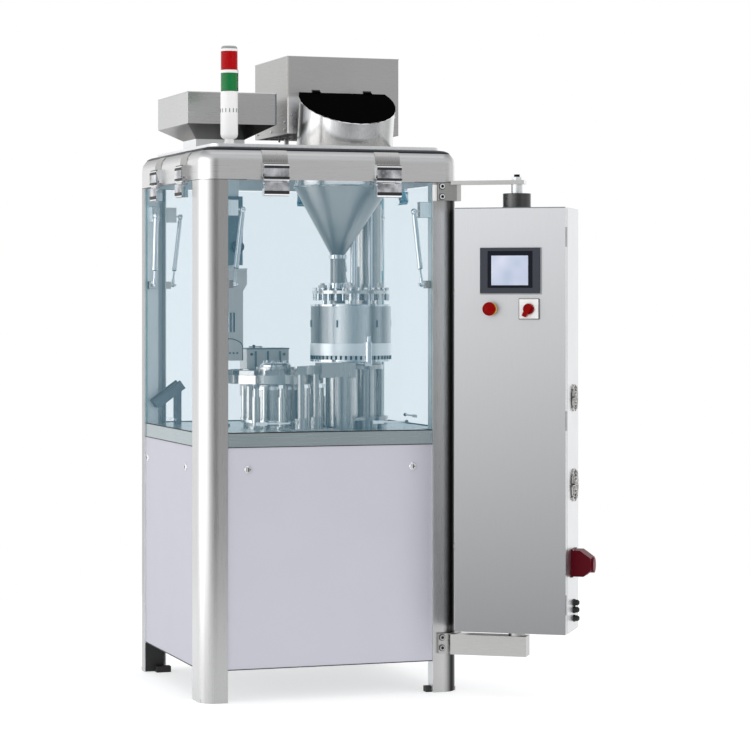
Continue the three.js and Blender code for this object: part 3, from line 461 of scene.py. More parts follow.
class Form:
    """Closed solids gathered in one mesh, in the millimetres of a local frame."""

    def __init__(self):
        self.mesh = bmesh.new()

    def box(self, x0, x1, y0, y1, z0, z1):
        place = Matrix.Translation(((x0 + x1) / 2, (y0 + y1) / 2, (z0 + z1) / 2))
        size = Matrix.Diagonal((abs(x1 - x0), abs(y1 - y0), abs(z1 - z0), 1))
        bmesh.ops.create_cube(self.mesh, size=1, matrix=place @ size)
        return self

    def rod(self, start, end, radius, sides=20, end_radius=None):
        start, end = Vector(start), Vector(end)
        bmesh.ops.create_cone(self.mesh, cap_ends=True, segments=sides, radius1=radius,
                              radius2=radius if end_radius is None else end_radius,
                              depth=(end - start).length,
                              matrix=Matrix.Translation((start + end) / 2) @ facing(end - start))
        return self

    def post(self, x, y, z0, z1, radius, sides=20):
        """Upright rod."""
        return self.rod((x, y, z0), (x, y, z1), radius, sides)

    def ball(self, centre, radius):
        bmesh.ops.create_uvsphere(self.mesh, u_segments=16, v_segments=10, radius=radius,
                                  matrix=Matrix.Translation(centre))
        return self

    def skinned(self, loops, joined=True):
        """Closed loops of points skinned in order, either joined at the ends or capped there."""
        rings = [[self.mesh.verts.new(point) for point in loop] for loop in loops]
        for near, far in zip(rings, rings[1:] + rings[:1] if joined else rings[1:]):
            for j in range(len(near)):
                k = (j + 1) % len(near)
                self.mesh.faces.new((near[j], near[k], far[k], far[j]))
        if not joined:
            self.mesh.faces.new(rings[0][::-1])
            self.mesh.faces.new(rings[-1])
        return self

    def turned(self, profile, centre=(0, 0, 0), axis=(0, 0, 1), sides=32):
        """Closed [radius, height] profile turned about an axis through the centre."""
        place = Matrix.Translation(centre) @ facing(axis)
        return self.skinned([[place @ Vector((r * x, r * y, h)) for r, h in profile]
                             for x, y in circle(sides)])

    def ring(self, centre, radius, thickness, height, axis=(0, 0, 1), sides=32):
        """Flat washer with a square section."""
        inner = radius - thickness
        profile = [(inner, 0), (radius, 0), (radius, height), (inner, height)]
        return self.turned(profile, centre, axis, sides)

    def extruded(self, outline, x0, x1):
        """A closed [y, z] outline pushed along x."""
        return self.skinned([[(x, y, z) for y, z in outline] for x in (x0, x1)], False)

    def raised(self, outline, z0, z1):
        """A closed [x, y] outline raised from z0 to z1."""
        return self.skinned([[(x, y, z) for x, y in outline] for z in (z0, z1)], False)

    def wire(self, points, radius, closed=False, sides=8):
        """A round wire along a line of points."""
        points = [Vector(p) for p in points]
        count = len(points)
        loops = []
        for i, point in enumerate(points):
            before = points[(i - 1) % count] if closed or i > 0 else point
            after = points[(i + 1) % count] if closed or i < count - 1 else point
            turn = (after - before).to_track_quat("Z", "Y")
            loops.append([point + turn @ Vector((x, y, 0)) for x, y in circle(sides, radius)])
        return self.skinned(loops, closed)


def piece(name, form, mat, body="root", matrix=MACHINE, bevel=0.4, slot=None):
    """Turns a form into an object that rides on a body."""
    mesh = form.mesh
    bmesh.ops.recalc_face_normals(mesh, faces=mesh.faces)
    mesh.transform(matrix)
    data = bpy.data.meshes.new(name)
    mesh.to_mesh(data)
    mesh.free()
    for face in data.polygons:
        face.use_smooth = True
    data.materials.append(mat)
    obj = bpy.data.objects.new(name, data)
    bpy.context.scene.collection.objects.link(obj)
    soften(obj, bevel, 30, True)
    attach(obj, body)
    slot = SLOT_OF.get(mat.name) if slot is None else slot
    return obj


def on_cabinet(name, form, mat, body="cabinet_door", bevel=0.4, slot=None):
    return piece(name, form, mat, body, SWIVEL, bevel, slot)


# ---------------- frame details
def corner_outline(width, depth, out):
    """Outer line of a post from its front edge round the corner to its side edge."""
    points = [(width, -out)]
    for i in range(9):
        angle = math.radians(270 - 90 * i / 8)
        points.append((CORNER_RADIUS + (CORNER_RADIUS + out) * math.cos(angle),
                       CORNER_RADIUS + (CORNER_RADIUS + out) * math.sin(angle)))
    return points + [(-out, depth)]


for corner in CORNERS:
    low, high = local_box("post_" + corner)
    size = high - low
    outline = corner_outline(size.x, size.y, 0.35) + corner_outline(size.x, size.y, -1)[::-1]
    place = [(WIDTH - x if "right" in corner else x, DEPTH - y if "back" in corner else y)
             for x, y in outline]
    piece("head_seam_" + corner, Form().raised(place, HINGE_Z - 1.3, HINGE_Z + 0.2), RUBBER_AND_SHADOW, bevel=0.1,
          slot="dark_steel")


def hinge_details(side, number, centre):
    """Clamping bars, black strips painted as shadow in the gaps, and backing strap of one door hinge."""
    matrix = SIDES[side]
    tag = f"{side}_{number}"
    x0, x1 = centre - 40, centre + 40
    for part, body, up, drop in (("fixed", "root", 1, 0), ("moving", side + "_door", -1, 2)):
        def strip(form, inset, *outline):
            return form.extruded([(y, HINGE_Z + up * z) for y, z in outline], x0 + inset, x1 - inset)

        bar = strip(Form(), 1, (-18.8, 9), (-18.8, 34), (-16.5, 35), (-16.5, 8))
        piece(f"hinge_bar_{part}_{tag}", bar, POLISHED, body, matrix, 0.5)
        lip = strip(Form(), 0.5, (-18.4, 42 + drop), (-16.6, 46.5 + drop), (-13.6, 46 + drop),
                    (-15.4, 41 + drop))
        piece(f"hinge_lip_{part}_{tag}", lip, CHROME, body, matrix, 0.3)
        # Black strips painted as the shadows in the gaps beside the bar and the lip, and below the fixed
        # knuckle.
        gap_shadow = strip(Form(), 0.5, (-19.2, 34.5), (-18.6, 41 + drop), (-15.6, 41 + drop), (-16.2, 34.5))
        strip(gap_shadow, 0.5, (-16.6, 47), (-13.4, 49.5), (-11.4, 49), (-13.4, 46.4))
        if up > 0:
            gap_shadow.box(x0 - 0.6, x1 + 0.6, -18.9, -17, HINGE_Z + 3, HINGE_Z + 8)
        piece(f"hinge_gap_shadow_{part}_{tag}", gap_shadow, RUBBER_AND_SHADOW, body, matrix, 0.1, "dark_steel")
    turns = [math.radians(15 * i) for i in range(6)]
    outer, inner = [[(40 - r * math.cos(a), RING_HIGH - 40.3 + r * math.sin(a)) for a in turns]
                    for r in (40.9, 39.6)]
    outline = [(-0.9, HINGE_Z + 46)] + outer + inner[::-1] + [(0.4, HINGE_Z + 46)]
    strap = Form().extruded(outline, x0, x1)
    piece(f"hinge_strap_{tag}", strap, STAINLESS_DEEP, "root", matrix, 0.3)


def hinge_centres(side):
    """The clamps give two sides; the other two carry the same spread about their middle."""
    home = "front" if side in ("front", "back") else "left"
    inverse = SIDES[home].inverted()
    centres = []
    for number in (1, 2):
        box_low, box_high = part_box(f"hinge_clamp_{home}_{number}")
        centres.append(((inverse @ box_low).x + (inverse @ box_high).x) / 2)
    if side == home:
        return sorted(centres)
    half_spread = abs(centres[1] - centres[0]) / 2 - (5 if side == "right" else 0)
    middle = sum(span(side)) / 2
    return middle - half_spread, middle + half_spread


PANE_BACK = 10
STRUT_TOP_INSET, STRUT_LOW_INSET, STRUT_Y = 53, 27, 26
STRUT_TOP_Z, STRUT_LOW_Z = 1485, 1260


def strut_details(side, hand, number):
    """Ball heads, collar and seal of one gas strut."""
    matrix = SIDES[side]
    edge = span(side)[0 if hand > 0 else 1]
    top = Vector((edge + hand * STRUT_TOP_INSET, STRUT_Y, STRUT_TOP_Z))
    bottom = Vector((edge + hand * STRUT_LOW_INSET, STRUT_Y, STRUT_LOW_Z))
    down = (bottom - top).normalized()
    across = Vector((hand, 0, 0))
    cylinder, rod = f"strut_cylinder_{side}_{number}", f"strut_rod_{side}_{number}"
    head = Form().ball(top, 9.6).rod(top + down * 8, top + down * 20, 7, 16)
    head.rod(top + down * 166, top + down * 176.5, 8.8)
    piece(cylinder + "_head", head, CHROME, cylinder, matrix, 0.3)
    seal = Form().rod(top + down * 174, top + down * 179, 6.6)
    piece(cylinder + "_seal", seal, RUBBER_AND_SHADOW, cylinder, matrix, 0.2)
    foot = Form().rod(bottom - down * 22, bottom - down * 5, 5, 16, 6.5)
    piece(rod + "_socket", foot, CHROME, rod, matrix, 0.3)
    stud = Form().rod(bottom - across * 9, bottom + across * 8.5, 2.1, 12)
    stud.ball(bottom + across * 9, 4.2)
    piece(f"strut_stud_{side}_{number}", stud, CHROME, side + "_door", matrix, 0.2)
    x0, x1 = sorted((edge + hand * 1, edge + hand * 36.5))
    block = Form().box(x0, x1, 15, 17, 1468, 1513)
    for z in (1480, 1502):
        block.rod((edge + hand * 12, 13.5, z), (edge + hand * 12, 16, z), 4.5, 16)
    piece(f"strut_plate_{side}_{number}", block, STAINLESS_PALE, "root", matrix)


def panel_lock(side, number, x, z=700):
    """Quarter-turn lock: collar, turned key and a dark slot."""
    matrix = SIDES[side]
    collar = Form().turned([(0.5, 0), (12, 0), (12, 1.4), (10.5, 3), (0.5, 3)], (x, 5, z), (0, -1, 0))
    collar.rod((x, 2.5, z), (x, 0.6, z), 7.5, 24)
    piece(f"panel_lock_{side}_{number}", collar, CHROME, "root", matrix, 0.3)
    # Key slot drawn as black strips: painted shade in the slot.
    slot = Form().box(x - 1.6, x + 1.6, 0.3, 0.9, z - 6, z + 6).box(x + 3, x + 6, 0.3, 0.9, z - 2, z + 2)
    piece(f"panel_lock_slot_{side}_{number}", slot, RUBBER_AND_SHADOW, "root", matrix, 0.1)


def pane_catch(side, number, x0, x1):
    """Lever inside the foot of a pane: wide paddle at one end, thin rod, dark knob at the other."""
    body, matrix = side + "_door", SIDES[side]
    y, z = PANE_BACK, TABLE + 27
    lever = Form().extruded([(y + 4, z - 2), (y + 4, z + 3), (y + 7, z + 3), (y + 7, z - 2)], x0 + 20, x1)
    lever.extruded([(y + 3, z - 5), (y + 3, z + 5), (y + 8, z + 4), (y + 8, z - 4)], x0, x0 + 36)
    piece(f"pane_catch_{side}_{number}", lever, STAINLESS_PALE, body, matrix, 0.5, "chrome")
    knob = Form().ball((x1, y + 5.5, z + 0.5), 5.5).rod((x1 - 3, y - 0.4, z), (x1 - 3, y + 5, z), 3, 12)
    piece(f"pane_catch_knob_{side}_{number}", knob, DARK_STEEL_AND_SHADE, body, matrix, 0.2)


LOCK_INSETS = {"front": (65, 64), "left": (25, 96), "right": (65, 65), "back": (65, 65)}

for side, matrix in SIDES.items():
    low, high = span(side)
    for number, centre in enumerate(hinge_centres(side), 1):
        hinge_details(side, number, centre)
    strut_details(side, 1, 1)
    strut_details(side, -1, 2)
    gasket = Form().box(low + 1.5, high - 1.5, 3.4, 11, TABLE - 0.2, TABLE + 2.4)
    piece("pane_gasket_" + side, gasket, RUBBER_AND_SHADOW, "root", matrix)
    trim = Form().box(low + 0.5, high - 0.5, 3.2, 5.2, TABLE_LOW - 1.6, TABLE_LOW + 0.4)
    piece("table_trim_" + side, trim, RUBBER_AND_SHADOW, "root", matrix, 0.2)
    panel_lock(side, 1, low + LOCK_INSETS[side][0])
    panel_lock(side, 2, high - LOCK_INSETS[side][1])
    # Black strip under the panel's lower edge: painted shadow line.
    edge = Form().box(low + 1, high - 1, 4.2, 8, PANEL_LOW - 1.4, PANEL_LOW + 1.4)
    piece("panel_hem_" + side, edge, RUBBER_AND_SHADOW, "root", matrix, 0.2)
    if side != "front":
        pane_catch(side, 1, (low + high) / 2 - 60, (low + high) / 2 + 50)

pane_catch("front", 1, 173, 287)
pane_catch("front", 2, 547, 657)

# Black rubber pads beside the feet, and a black sheet painted as the shadow inside the back-left post's
# channel.
for name, box, bevel in (
        ("foot_pad_front_right", (WIDTH - 106, WIDTH - 76, 12, 40, 0, 18), 1.0),
        ("foot_pad_back_left", (34, 82, DEPTH - 112, DEPTH - 84.5, 0, 20), 1.0),
        ("post_shadow_sheet_back_left", (3, 64, DEPTH - 86.5, DEPTH - 82.8, 2, PANEL_LOW - 3), 0.4),
        ("foot_pad_back_right", (WIDTH - 104, WIDTH - 78, DEPTH - 40, DEPTH - 12, 0, 20), 1.0)):
    piece(name, Form().box(*box), RUBBER_AND_SHADOW, bevel=bevel, slot="dark_steel")

# ---------------- roof
low, high = local_box("tower_light")
BEACON = Vector(((low.x + high.x) / 2, (low.y + high.y) / 2, low.z))


def beacon_part(name, mat, bevel, *profiles):
    """A part of the tower light, turned about its middle."""
    form = Form()
    for profile in profiles:
        form.turned(profile, BEACON, sides=40)
    return piece("beacon_" + name, form, mat, bevel=bevel, slot="lamp_white" if mat == WHITE else "")


body = beacon_part("body", WHITE, 0.6, [(0.5, 0), (23, 0), (23, 7), (15, 10), (13.5, 21), (21, 24),
                                        (25, 29), (26.5, 36), (26.5, 165), (24, 167), (0.5, 167)])
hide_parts("tower_light")
# Vents drawn as dark rods: painted shade in the openings.
vents = Form()
for x, y in circle(14, 26.3):
    vents.post(BEACON.x + x, BEACON.y + y, BEACON.z + 102, BEACON.z + 114, 1.3, 8)
piece("beacon_vents", vents, DARK_STEEL_AND_SHADE, bevel=0.1, slot="")
for name, mat, z0, z1 in (("lens_green", GREEN_LENS, 167, 222), ("lens_red", RED_LENS, 231, 288)):
    step = (z1 - z0) / 9
    ribs = []
    for i in range(9):
        ribs += [(25.6, z0 + step * (i + 0.15)), (25.6, z0 + step * (i + 0.85)), (25.0, z0 + step * (i + 1))]
    beacon_part(name, mat, 0.1, [(0.5, z0)] + ribs + [(0.5, z1)])
beacon_part("collars", WHITE, 0.3,
            [(0.5, 222), (26.3, 222), (26.5, 225), (26.5, 229), (26.2, 231), (0.5, 231)],
            [(0.5, 288), (26, 288), (26.4, 291), (26, 295.5), (0.5, 296)])
beacon_part("cap", GREY_PLASTIC, 0.4, [(0.5, 295.5), (24.5, 295.5), (25, 299), (21, 304), (0.5, 305)])
stay = Form().post(BEACON.x + 26, BEACON.y - 6, BEACON.z + 167, BEACON.z + 232, 1.1, 8)
piece("beacon_stay", stay, BLACK_TRIM_AND_SHADE, bevel=0.1)


def rounded_loop(inset, radius, z):
    """Line round the roof, inside its edge by an inset, with rounded corners."""
    near, far_x, far_y = inset + radius, WIDTH - inset - radius, DEPTH - inset - radius
    points = []
    for turn, x, y in ((180, near, near), (270, far_x, near), (0, far_x, far_y), (90, near, far_y)):
        for i in range(9):
            angle = math.radians(turn + 90 * i / 8)
            points.append((x + radius * math.cos(angle), y + radius * math.sin(angle), z))
    return points


def roof_band(name, mat, slot, *loops):
    band = Form().skinned([rounded_loop(inset, radius, ROOF + z) for inset, radius, z in loops])
    piece(name, band, mat, bevel=0.1, slot=slot)


# Black band painted as the shadow line between the head frame's roll and the roof plate, and the plate's
# upturned rim in pale steel as a painted highlight.
roof_band("roof_shadow_line", BLACK_TRIM_AND_SHADE, "dark_steel", (15.5, 39.5, -14.5), (17, 38, -11.6), (22, 34, -8.2),
          (30, 30, -4.8), (41, 30, -2.8), (47.5, 30, -2.6), (47.5, 30, -5), (41, 30, -7), (30, 30, -9),
          (22, 34, -13))
roof_band("roof_rim", STAINLESS_PALE, "bright_steel", (46.5, 31, -3), (46.5, 31, 7), (50, 28, 7),
          (50, 28, -3))

# Capsule tray: rolled rims, corner rolls and a bolted collar on the roof.
rim = Form()
x0, x1, y0, y1 = TRAY_LOW.x + 1, TRAY_HIGH.x - 1, TRAY_LOW.y + 1, TRAY_HIGH.y - 1
rim_line = [(x0, y0), (x1, y0), (x1, y1), (x0, y1)]
for start, end in zip(rim_line, rim_line[1:] + rim_line[:1]):
    rim.rod((*start, TRAY_HIGH.z), (*end, TRAY_HIGH.z), 2.2, 12)
piece("tray_rim", rim, STAINLESS_LEVEL)
piece("tray_corner_roll", Form().post(x1, y0, TRAY_WALL, TRAY_HIGH.z, 3.2, 12), DARK_STEEL_AND_SHADE)
collar = Form().box(82, 256, 392, 400, ROOF, ROOF + 3).box(248, 256, 400, 562, ROOF, ROOF + 3)
for x, y in ((100, 396), (168, 396), (236, 396), (252, 440), (252, 520)):
    collar.post(x, y, ROOF, ROOF + 6, 3.6, 6)
piece("tray_collar", collar, CHROME)

# Powder hopper: rim along the mouth, band above the roof and the lid's two hinges.
HOPPER_LOW, HOPPER_HIGH = local_box("powder_hopper")
HOPPER_X = (HOPPER_LOW.x + HOPPER_HIGH.x) / 2
HOPPER_RADIUS = (HOPPER_HIGH.x - HOPPER_LOW.x) / 2
LEAN = 0.2
OUTLET_Y, CONE_LOW = 320, 1357
LID_AXIS = joint_place("hopper_lid_hinge")
MOUTH_Y, MOUTH_Z = LID_AXIS.y - 5, LID_AXIS.z - 6
SLOPE = math.tan(math.radians(29))

level = MOUTH_Z - MOUTH_Y * SLOPE
mouth = []
for x, y in circle(96, HOPPER_RADIUS):
    y = (OUTLET_Y + LEAN * CONE_LOW - LEAN * level + y) / (1 + LEAN * SLOPE)
    mouth.append(Vector((HOPPER_X + x, y, level + y * SLOPE)))
mouth = [p for p in mouth[40:] + mouth[:40] if p.y < MOUTH_Y - 2]
piece("mouth_rim", Form().wire(mouth, 1.8), CHROME, bevel=0.1)

WELD_Z = 1566
weld = Form().ring((HOPPER_X, OUTLET_Y - (WELD_Z - CONE_LOW) * LEAN, WELD_Z), HOPPER_RADIUS + 1.4, 2.9, 5,
                   sides=64)
piece("hopper_weld_low", weld, BRIGHT, bevel=0.3)

for number, offset in enumerate((-85, 85), 1):
    x, y, z = LID_AXIS + Vector((offset, 0, 0))
    plate = Form().box(x - 14, x + 14, MOUTH_Y + 7, MOUTH_Y + 9, z + 1, z + 8)
    plate.rod((x - 14, y, z), (x - 7, y, z), 3.6, 16).rod((x + 7, y, z), (x + 14, y, z), 3.6, 16)
    piece(f"lid_hinge_fixed_{number}", plate, HUB_STEEL)
    knuckle = Form().rod((x - 6.6, y, z), (x + 6.6, y, z), 3.6, 16)
    piece(f"lid_hinge_moving_{number}", knuckle, CHROME, "hopper_lid")

# Feeder cover: folded corner seam, screws, clamp with a wing handle, lower flange.
left, front, bottom = FEEDER_LOW
right, back, top = FEEDER_HIGH
# Pale strip along the feeder cover's front-left corner: the fold painted bright as a highlight.
fold = Form().box(left - 0.8, left + 5, front - 0.8, front + 0.5, bottom + 2, top - 3)
piece("feeder_corner_fold", fold, BRIGHT)
lip = Form()
for x in (left, right):
    lip.box(x - 1, x + 1, front, back, top - 3, top)
piece("feeder_top_seam", lip, STAINLESS_LEVEL)
screws = Form()
for y in (front + 30, front + 180, back - 30):
    for z in (bottom + 16, bottom + 38):
        screws.rod((left - 3, y, z), (left + 1, y, z), 4.5, 12)
        screws.rod((right + 3, y, z), (right - 1, y, z), 4.5, 12)
for x in (left + 14, right - 14):
    screws.rod((x, front - 3, bottom + 60), (x, front + 1, bottom + 60), 3.5, 12)
piece("feeder_screws", screws, CHROME)
for number, x in enumerate((left + 90, right - 90), 1):
    leg = Form()
    for y in (front + 90, back - 60):
        leg.post(x, y, ROOF, bottom + 1, 8).post(x, y, ROOF, ROOF + 5, 16, 24)
    piece(f"feeder_leg_{number}", leg, STAINLESS_PALE)
x, y, z = left, front - 12, ROOF + 43
clamp = Form().rod((x - 62, y, z - 2), (x + 16, y, z + 4), 1.8, 12)
clamp.rod((x - 30, y, z - 8), (x - 27, y, z + 8), 2.2, 12)
clamp.ball((x - 30, y, z - 8), 3.4).ball((x - 27, y, z + 8), 3.4)
clamp.rod((x - 12, y, z + 1), (x - 6, y, z + 2), 5.5, 6)
clamp.box(x + 8, x + 16, y - 4, front + 1, z - 4, z + 12)
piece("feeder_wing_clamp", clamp, HUB_STEEL)

# ---------------- filling chamber
low, high = local_box("dosing_drum")
DRUM_LOW, DRUM_HIGH = low.z, high.z
DRUM = joint_place("dosing_spin")
DRUM_RADIUS = (high.x - low.x) / 2


def round_about(centre, radius, count, start=0.0):
    """Places on a circle about an upright axis."""
    for x, y in circle(count, radius, start):
        yield centre.x + x, centre.y + y


def drum_ring(name, z, radius, thickness, height, mat, bevel=0.4):
    band = Form().ring((DRUM.x, DRUM.y, z), radius, thickness, height, sides=72)
    piece(name, band, mat, "dosing_drum", bevel=bevel)


drum_ring("drum_top_rim", DRUM_HIGH - 6, DRUM_RADIUS + 1.6, 4, 6, CHROME)
drum_ring("drum_white_ring", DRUM_LOW + 28, DRUM_RADIUS + 2.4, 4, 39, DRUM_BAND, 0.8)
pins = Form()
for x, y in round_about(DRUM, DRUM_RADIUS - 2.5, 50):
    pins.post(x, y, DRUM_LOW + 13, DRUM_LOW + 29, 4.2, 8)
piece("drum_pins", pins, BLACK_TRIM_AND_SHADE, "dosing_drum", bevel=0.1, slot="dark_steel")
drum_ring("drum_foot_ring", DRUM_LOW + 9, DRUM_RADIUS + 3, 16, 7, CHROME, 0.6)
# Windows drawn as dark studs: painted shade in the openings.
windows = Form()
for x, y in round_about(DRUM, DRUM_RADIUS + 0.4, 6, 232):
    windows.post(x, y, DRUM_LOW + 118, DRUM_LOW + 140, 3.2, 10)
piece("drum_windows", windows, DARK_STEEL_AND_SHADE, "dosing_drum", bevel=0.1)
x, y, z = DRUM.x + 14, DRUM.y - DRUM_RADIUS - 8, DRUM_LOW
latch = Form().post(x, y, z + 4, z + 72, 11, 24).post(x, y, z + 72, z + 84, 6, 16)
latch.ball((x, y, z + 87), 7).box(x - 12, x + 12, y, DRUM.y - 60, z - 4, z + 6)
piece("drum_latch", latch, CHROME)

PLATE_Z = DRUM_HIGH + 34
crown = Form()
for x, y in round_about(DRUM, 118, 30):
    crown.post(x, y, PLATE_Z - 22, PLATE_Z + 16, 3.4, 10).post(x, y, PLATE_Z + 14, PLATE_Z + 19, 5.4, 6)
piece("tamping_pins", crown, CHROME, "tamping_head", bevel=0.2)
springs = Form()
for x, y in round_about(DRUM, 118, 15, 6):
    coil = [(x + 5 * math.cos(t), y + 5 * math.sin(t), PLATE_Z - 20 + t * 0.85)
            for t in [i * math.pi / 4 for i in range(28)]]
    springs.wire(coil, 1.1, sides=6)
piece("tamping_springs", springs, HUB_STEEL, "tamping_head", bevel=0.05)
blocks = Form()
for x, y in round_about(DRUM, 104, 6, 12):
    blocks.post(x, y, PLATE_Z + 8, PLATE_Z + 27, 14, 6).post(x, y, PLATE_Z + 27, PLATE_Z + 33, 7, 12)
piece("tamping_blocks", blocks, BRIGHT_DIM, "tamping_head", bevel=0.5)

# Powder tube sleeve and the guide rods of the tamping head.
sleeve = Form().ring((HOPPER_X, OUTLET_Y, CONE_LOW - 14), 29, 5, 12, sides=40)
sleeve.ring((HOPPER_X, OUTLET_Y, PLATE_Z + 16), 29, 4.5, 18, sides=40)
piece("powder_tube_collars", sleeve, CHROME)
guides = Form()
for x, y in ((576, 300), (602, 352), (642, 322)):
    guides.post(x, y, DRUM_LOW + 30, RING_HIGH - 90, 7)
piece("head_guide_rods", guides, CHROME)
yoke = Form().raised([(556, 286), (600, 280), (664, 306), (664, 352), (606, 372), (570, 330)],
                     RING_HIGH - 92, RING_HIGH - 70)
piece("head_yoke", yoke, DARK_STEEL_AND_SHADE, bevel=1.2)

# Turret: segment blocks with bores, hub cap and clamp screws.
TURRET = joint_place("turret_spin")
TURRET_AXIS = Vector((TURRET.x, TURRET.y, 0))
TURRET_LOW, TURRET_HIGH = [corner.z for corner in local_box("turret")]
TURRET_TOP = 976
segments, bores, studs = Form(), Form(), Form()
for x, y in circle(10):
    out, across = Vector((x, y, 0)), Vector((-y, x, 0))
    centre = TURRET_AXIS + out * 134
    corners = [centre + out * u + across * v for u, v in ((-15, -24), (16, -30), (16, 30), (-15, 24))]
    segments.raised([(c.x, c.y) for c in corners], TURRET_TOP - 0.5, TURRET_TOP + 15)
    for row in (-6, 7):
        for column in range(-2, 3):
            hole = centre + out * row + across * column * 10
            bores.post(hole.x, hole.y, TURRET_TOP + 14.2, TURRET_TOP + 15.4, 3.2, 10)
    for v in (-11, 11):
        stud = TURRET_AXIS + out * 104 + across * v
        studs.post(stud.x, stud.y, TURRET_TOP - 1, TURRET_TOP + 9, 4, 10)
piece("turret_segments", segments, BRIGHT_DIM, "turret", bevel=1.0)
# Bores drawn as black discs: painted shade in the holes.
piece("turret_bores", bores, BLACK_TRIM_AND_SHADE, "turret", bevel=0.1)
piece("turret_studs", studs, CHROME, "turret", bevel=0.3)
hub = Form().turned([(0.5, 0), (50, 0), (50, 6), (44, 12), (30, 14), (0.5, 15)],
                    (TURRET.x, TURRET.y, TURRET_HIGH), sides=48)
for x, y in round_about(TURRET, 37, 6):
    hub.post(x, y, TURRET_HIGH + 10, TURRET_HIGH + 20, 5, 6)
piece("turret_hub_cap", hub, CHROME, "turret", bevel=0.6)

# Fixed rings and guide posts around the turret housing.
collars = Form().ring((TURRET.x, TURRET.y, TABLE + 14), 112, 14, 10, sides=64)
collars.ring((TURRET.x, TURRET.y, TURRET_LOW + 22), 92, 8, 12, sides=64)
piece("housing_rings", collars, CHROME, bevel=0.8)
posts = Form()
for x, y in round_about(TURRET, 101, 10, 18):
    posts.post(x, y, TABLE + 20, TURRET_LOW + 34, 8).post(x, y, TABLE + 18, TABLE + 30, 11)
piece("housing_posts", posts, BRIGHT, bevel=0.5)

# Closing station: lid plate, side screws, an air fitting and upright ribs.
low, high = local_box("closing_station")
lidplate = Form().box(low.x - 2, high.x + 2, low.y - 2, high.y + 2, 1052, 1056)
piece("closing_top_plate", lidplate, DARK_STEEL_AND_SHADE, bevel=0.8)
fittings = Form().ball((334, 593, 1061), 5.5)
for x in (316, 426):
    for z in (920, 1036):
        fittings.rod((x, low.y - 4, z), (x, low.y + 2, z), 5, 6)
piece("closing_fittings", fittings, HUB_STEEL, bevel=0.3)
ribs = Form()
for x in (330, 371, 412):
    ribs.box(x - 3, x + 3, low.y - 5, low.y + 1, 904, 1046)
piece("closing_ribs", ribs, DARK_STEEL_AND_SHADE, bevel=0.8)

# Segment stations between turret and drum: vertical heads with plungers.
heads, caps = Form(), Form()
for degrees, reach in ((-48, 168), (-72, 172), (-100, 170), (-128, 168), (150, 172), (30, 172)):
    angle = math.radians(degrees)
    x, y = TURRET.x + reach * math.cos(angle), TURRET.y + reach * math.sin(angle)
    heads.post(x, y, TABLE, TABLE + 100, 13, 24).post(x, y, TABLE + 98, TABLE + 128, 9)
    heads.post(x, y, TABLE, TABLE + 8, 22, 24)
    caps.post(x, y, TABLE + 126, TABLE + 138, 12, 6)
piece("station_posts", heads, BRIGHT, bevel=0.6)
piece("station_caps", caps, CHROME, bevel=0.6)

# Magazine: feed slots, window, arch plate, screws and a round hand knob.
low, high = local_box("capsule_magazine")
x0, x1, y, z = low.x + 10, high.x - 10, low.y + 10, low.z
# Feed slots drawn as black boxes: painted shade in the openings.
slots = Form()
for x in (x1 - 52, x1 - 42, x1 - 32):
    slots.box(x, x + 4, y - 0.8, y + 0.5, z + 90, z + 152)
piece("magazine_slots", slots, BLACK_TRIM_AND_SHADE, "capsule_magazine", bevel=0.1)
tubes = Form().post(x1 - 47, y - 1, z + 88, z + 154, 1.8, 10).post(x1 - 37, y - 1, z + 88, z + 154, 1.8, 10)
piece("magazine_tubes", tubes, CHROME, "capsule_magazine", bevel=0.1)
arch_line = [(x1 - 2, z + 2), (x1 - 2, z + 44)]
for i in range(9):
    angle = math.radians(20 * i + 10)
    arch_line.append(((x0 + x1) / 2 + 50 * math.cos(angle), z + 44 + 26 * math.sin(angle)))
arch_line += [(x0 + 2, z + 44), (x0 + 2, z + 2)]
arch = Form().wire([(u, y - 1, v) for u, v in arch_line], 1.4)
for x in (x1 - 44, x1 - 32, x1 - 20):
    arch.rod((x, y - 2.5, z + 24), (x, y + 1, z + 24), 3, 10)
piece("magazine_arch", arch, HUB_STEEL, "capsule_magazine", bevel=0.1)
mouth_frame = Form()
for box in ((low.x - 1, high.x + 1, low.y - 1, low.y + 2), (low.x - 1, high.x + 1, high.y - 2, high.y + 1),
            (low.x - 1, low.x + 2, low.y, high.y), (high.x - 2, high.x + 1, low.y, high.y)):
    mouth_frame.box(*box, high.z - 4, high.z)
piece("magazine_mouth_frame", mouth_frame, BRIGHT, "capsule_magazine")
KNOB_Z = 1380
bolt = Form()
for start, end, radius, sides in ((0, -22, 18, 32), (-20, -30, 12, 24), (20, 0, 8, 16)):
    bolt.rod((x1 - 20, y + start, KNOB_Z), (x1 - 20, y + end, KNOB_Z), radius, sides)
piece("gate_knob", bolt, HUB_STEEL, bevel=1.2)
gate = Form().box(x0 + 4, x1 - 2, y - 2, y + 4, 1322, 1540).box(x0 + 4, x1 - 2, y - 5, y - 1, 1420, 1428)
piece("capsule_gate", gate, DARK_STEEL_AND_SHADE, bevel=0.8)

# Discharge chute: beads along its two upper edges.
CHUTE_FALL = math.radians(36)
along = Vector((math.cos(CHUTE_FALL), 0, math.sin(CHUTE_FALL)))
up = Vector((-along.z, 0, along.x))
beads = Form()
for y in (-25.5, 25.5):
    middle = Vector((78, 684 + y, 893)) + up * 30
    beads.rod(middle - along * 54, middle + along * 54, 2.4, 12)
piece("chute_beads", beads, HUB_STEEL, bevel=0.1)

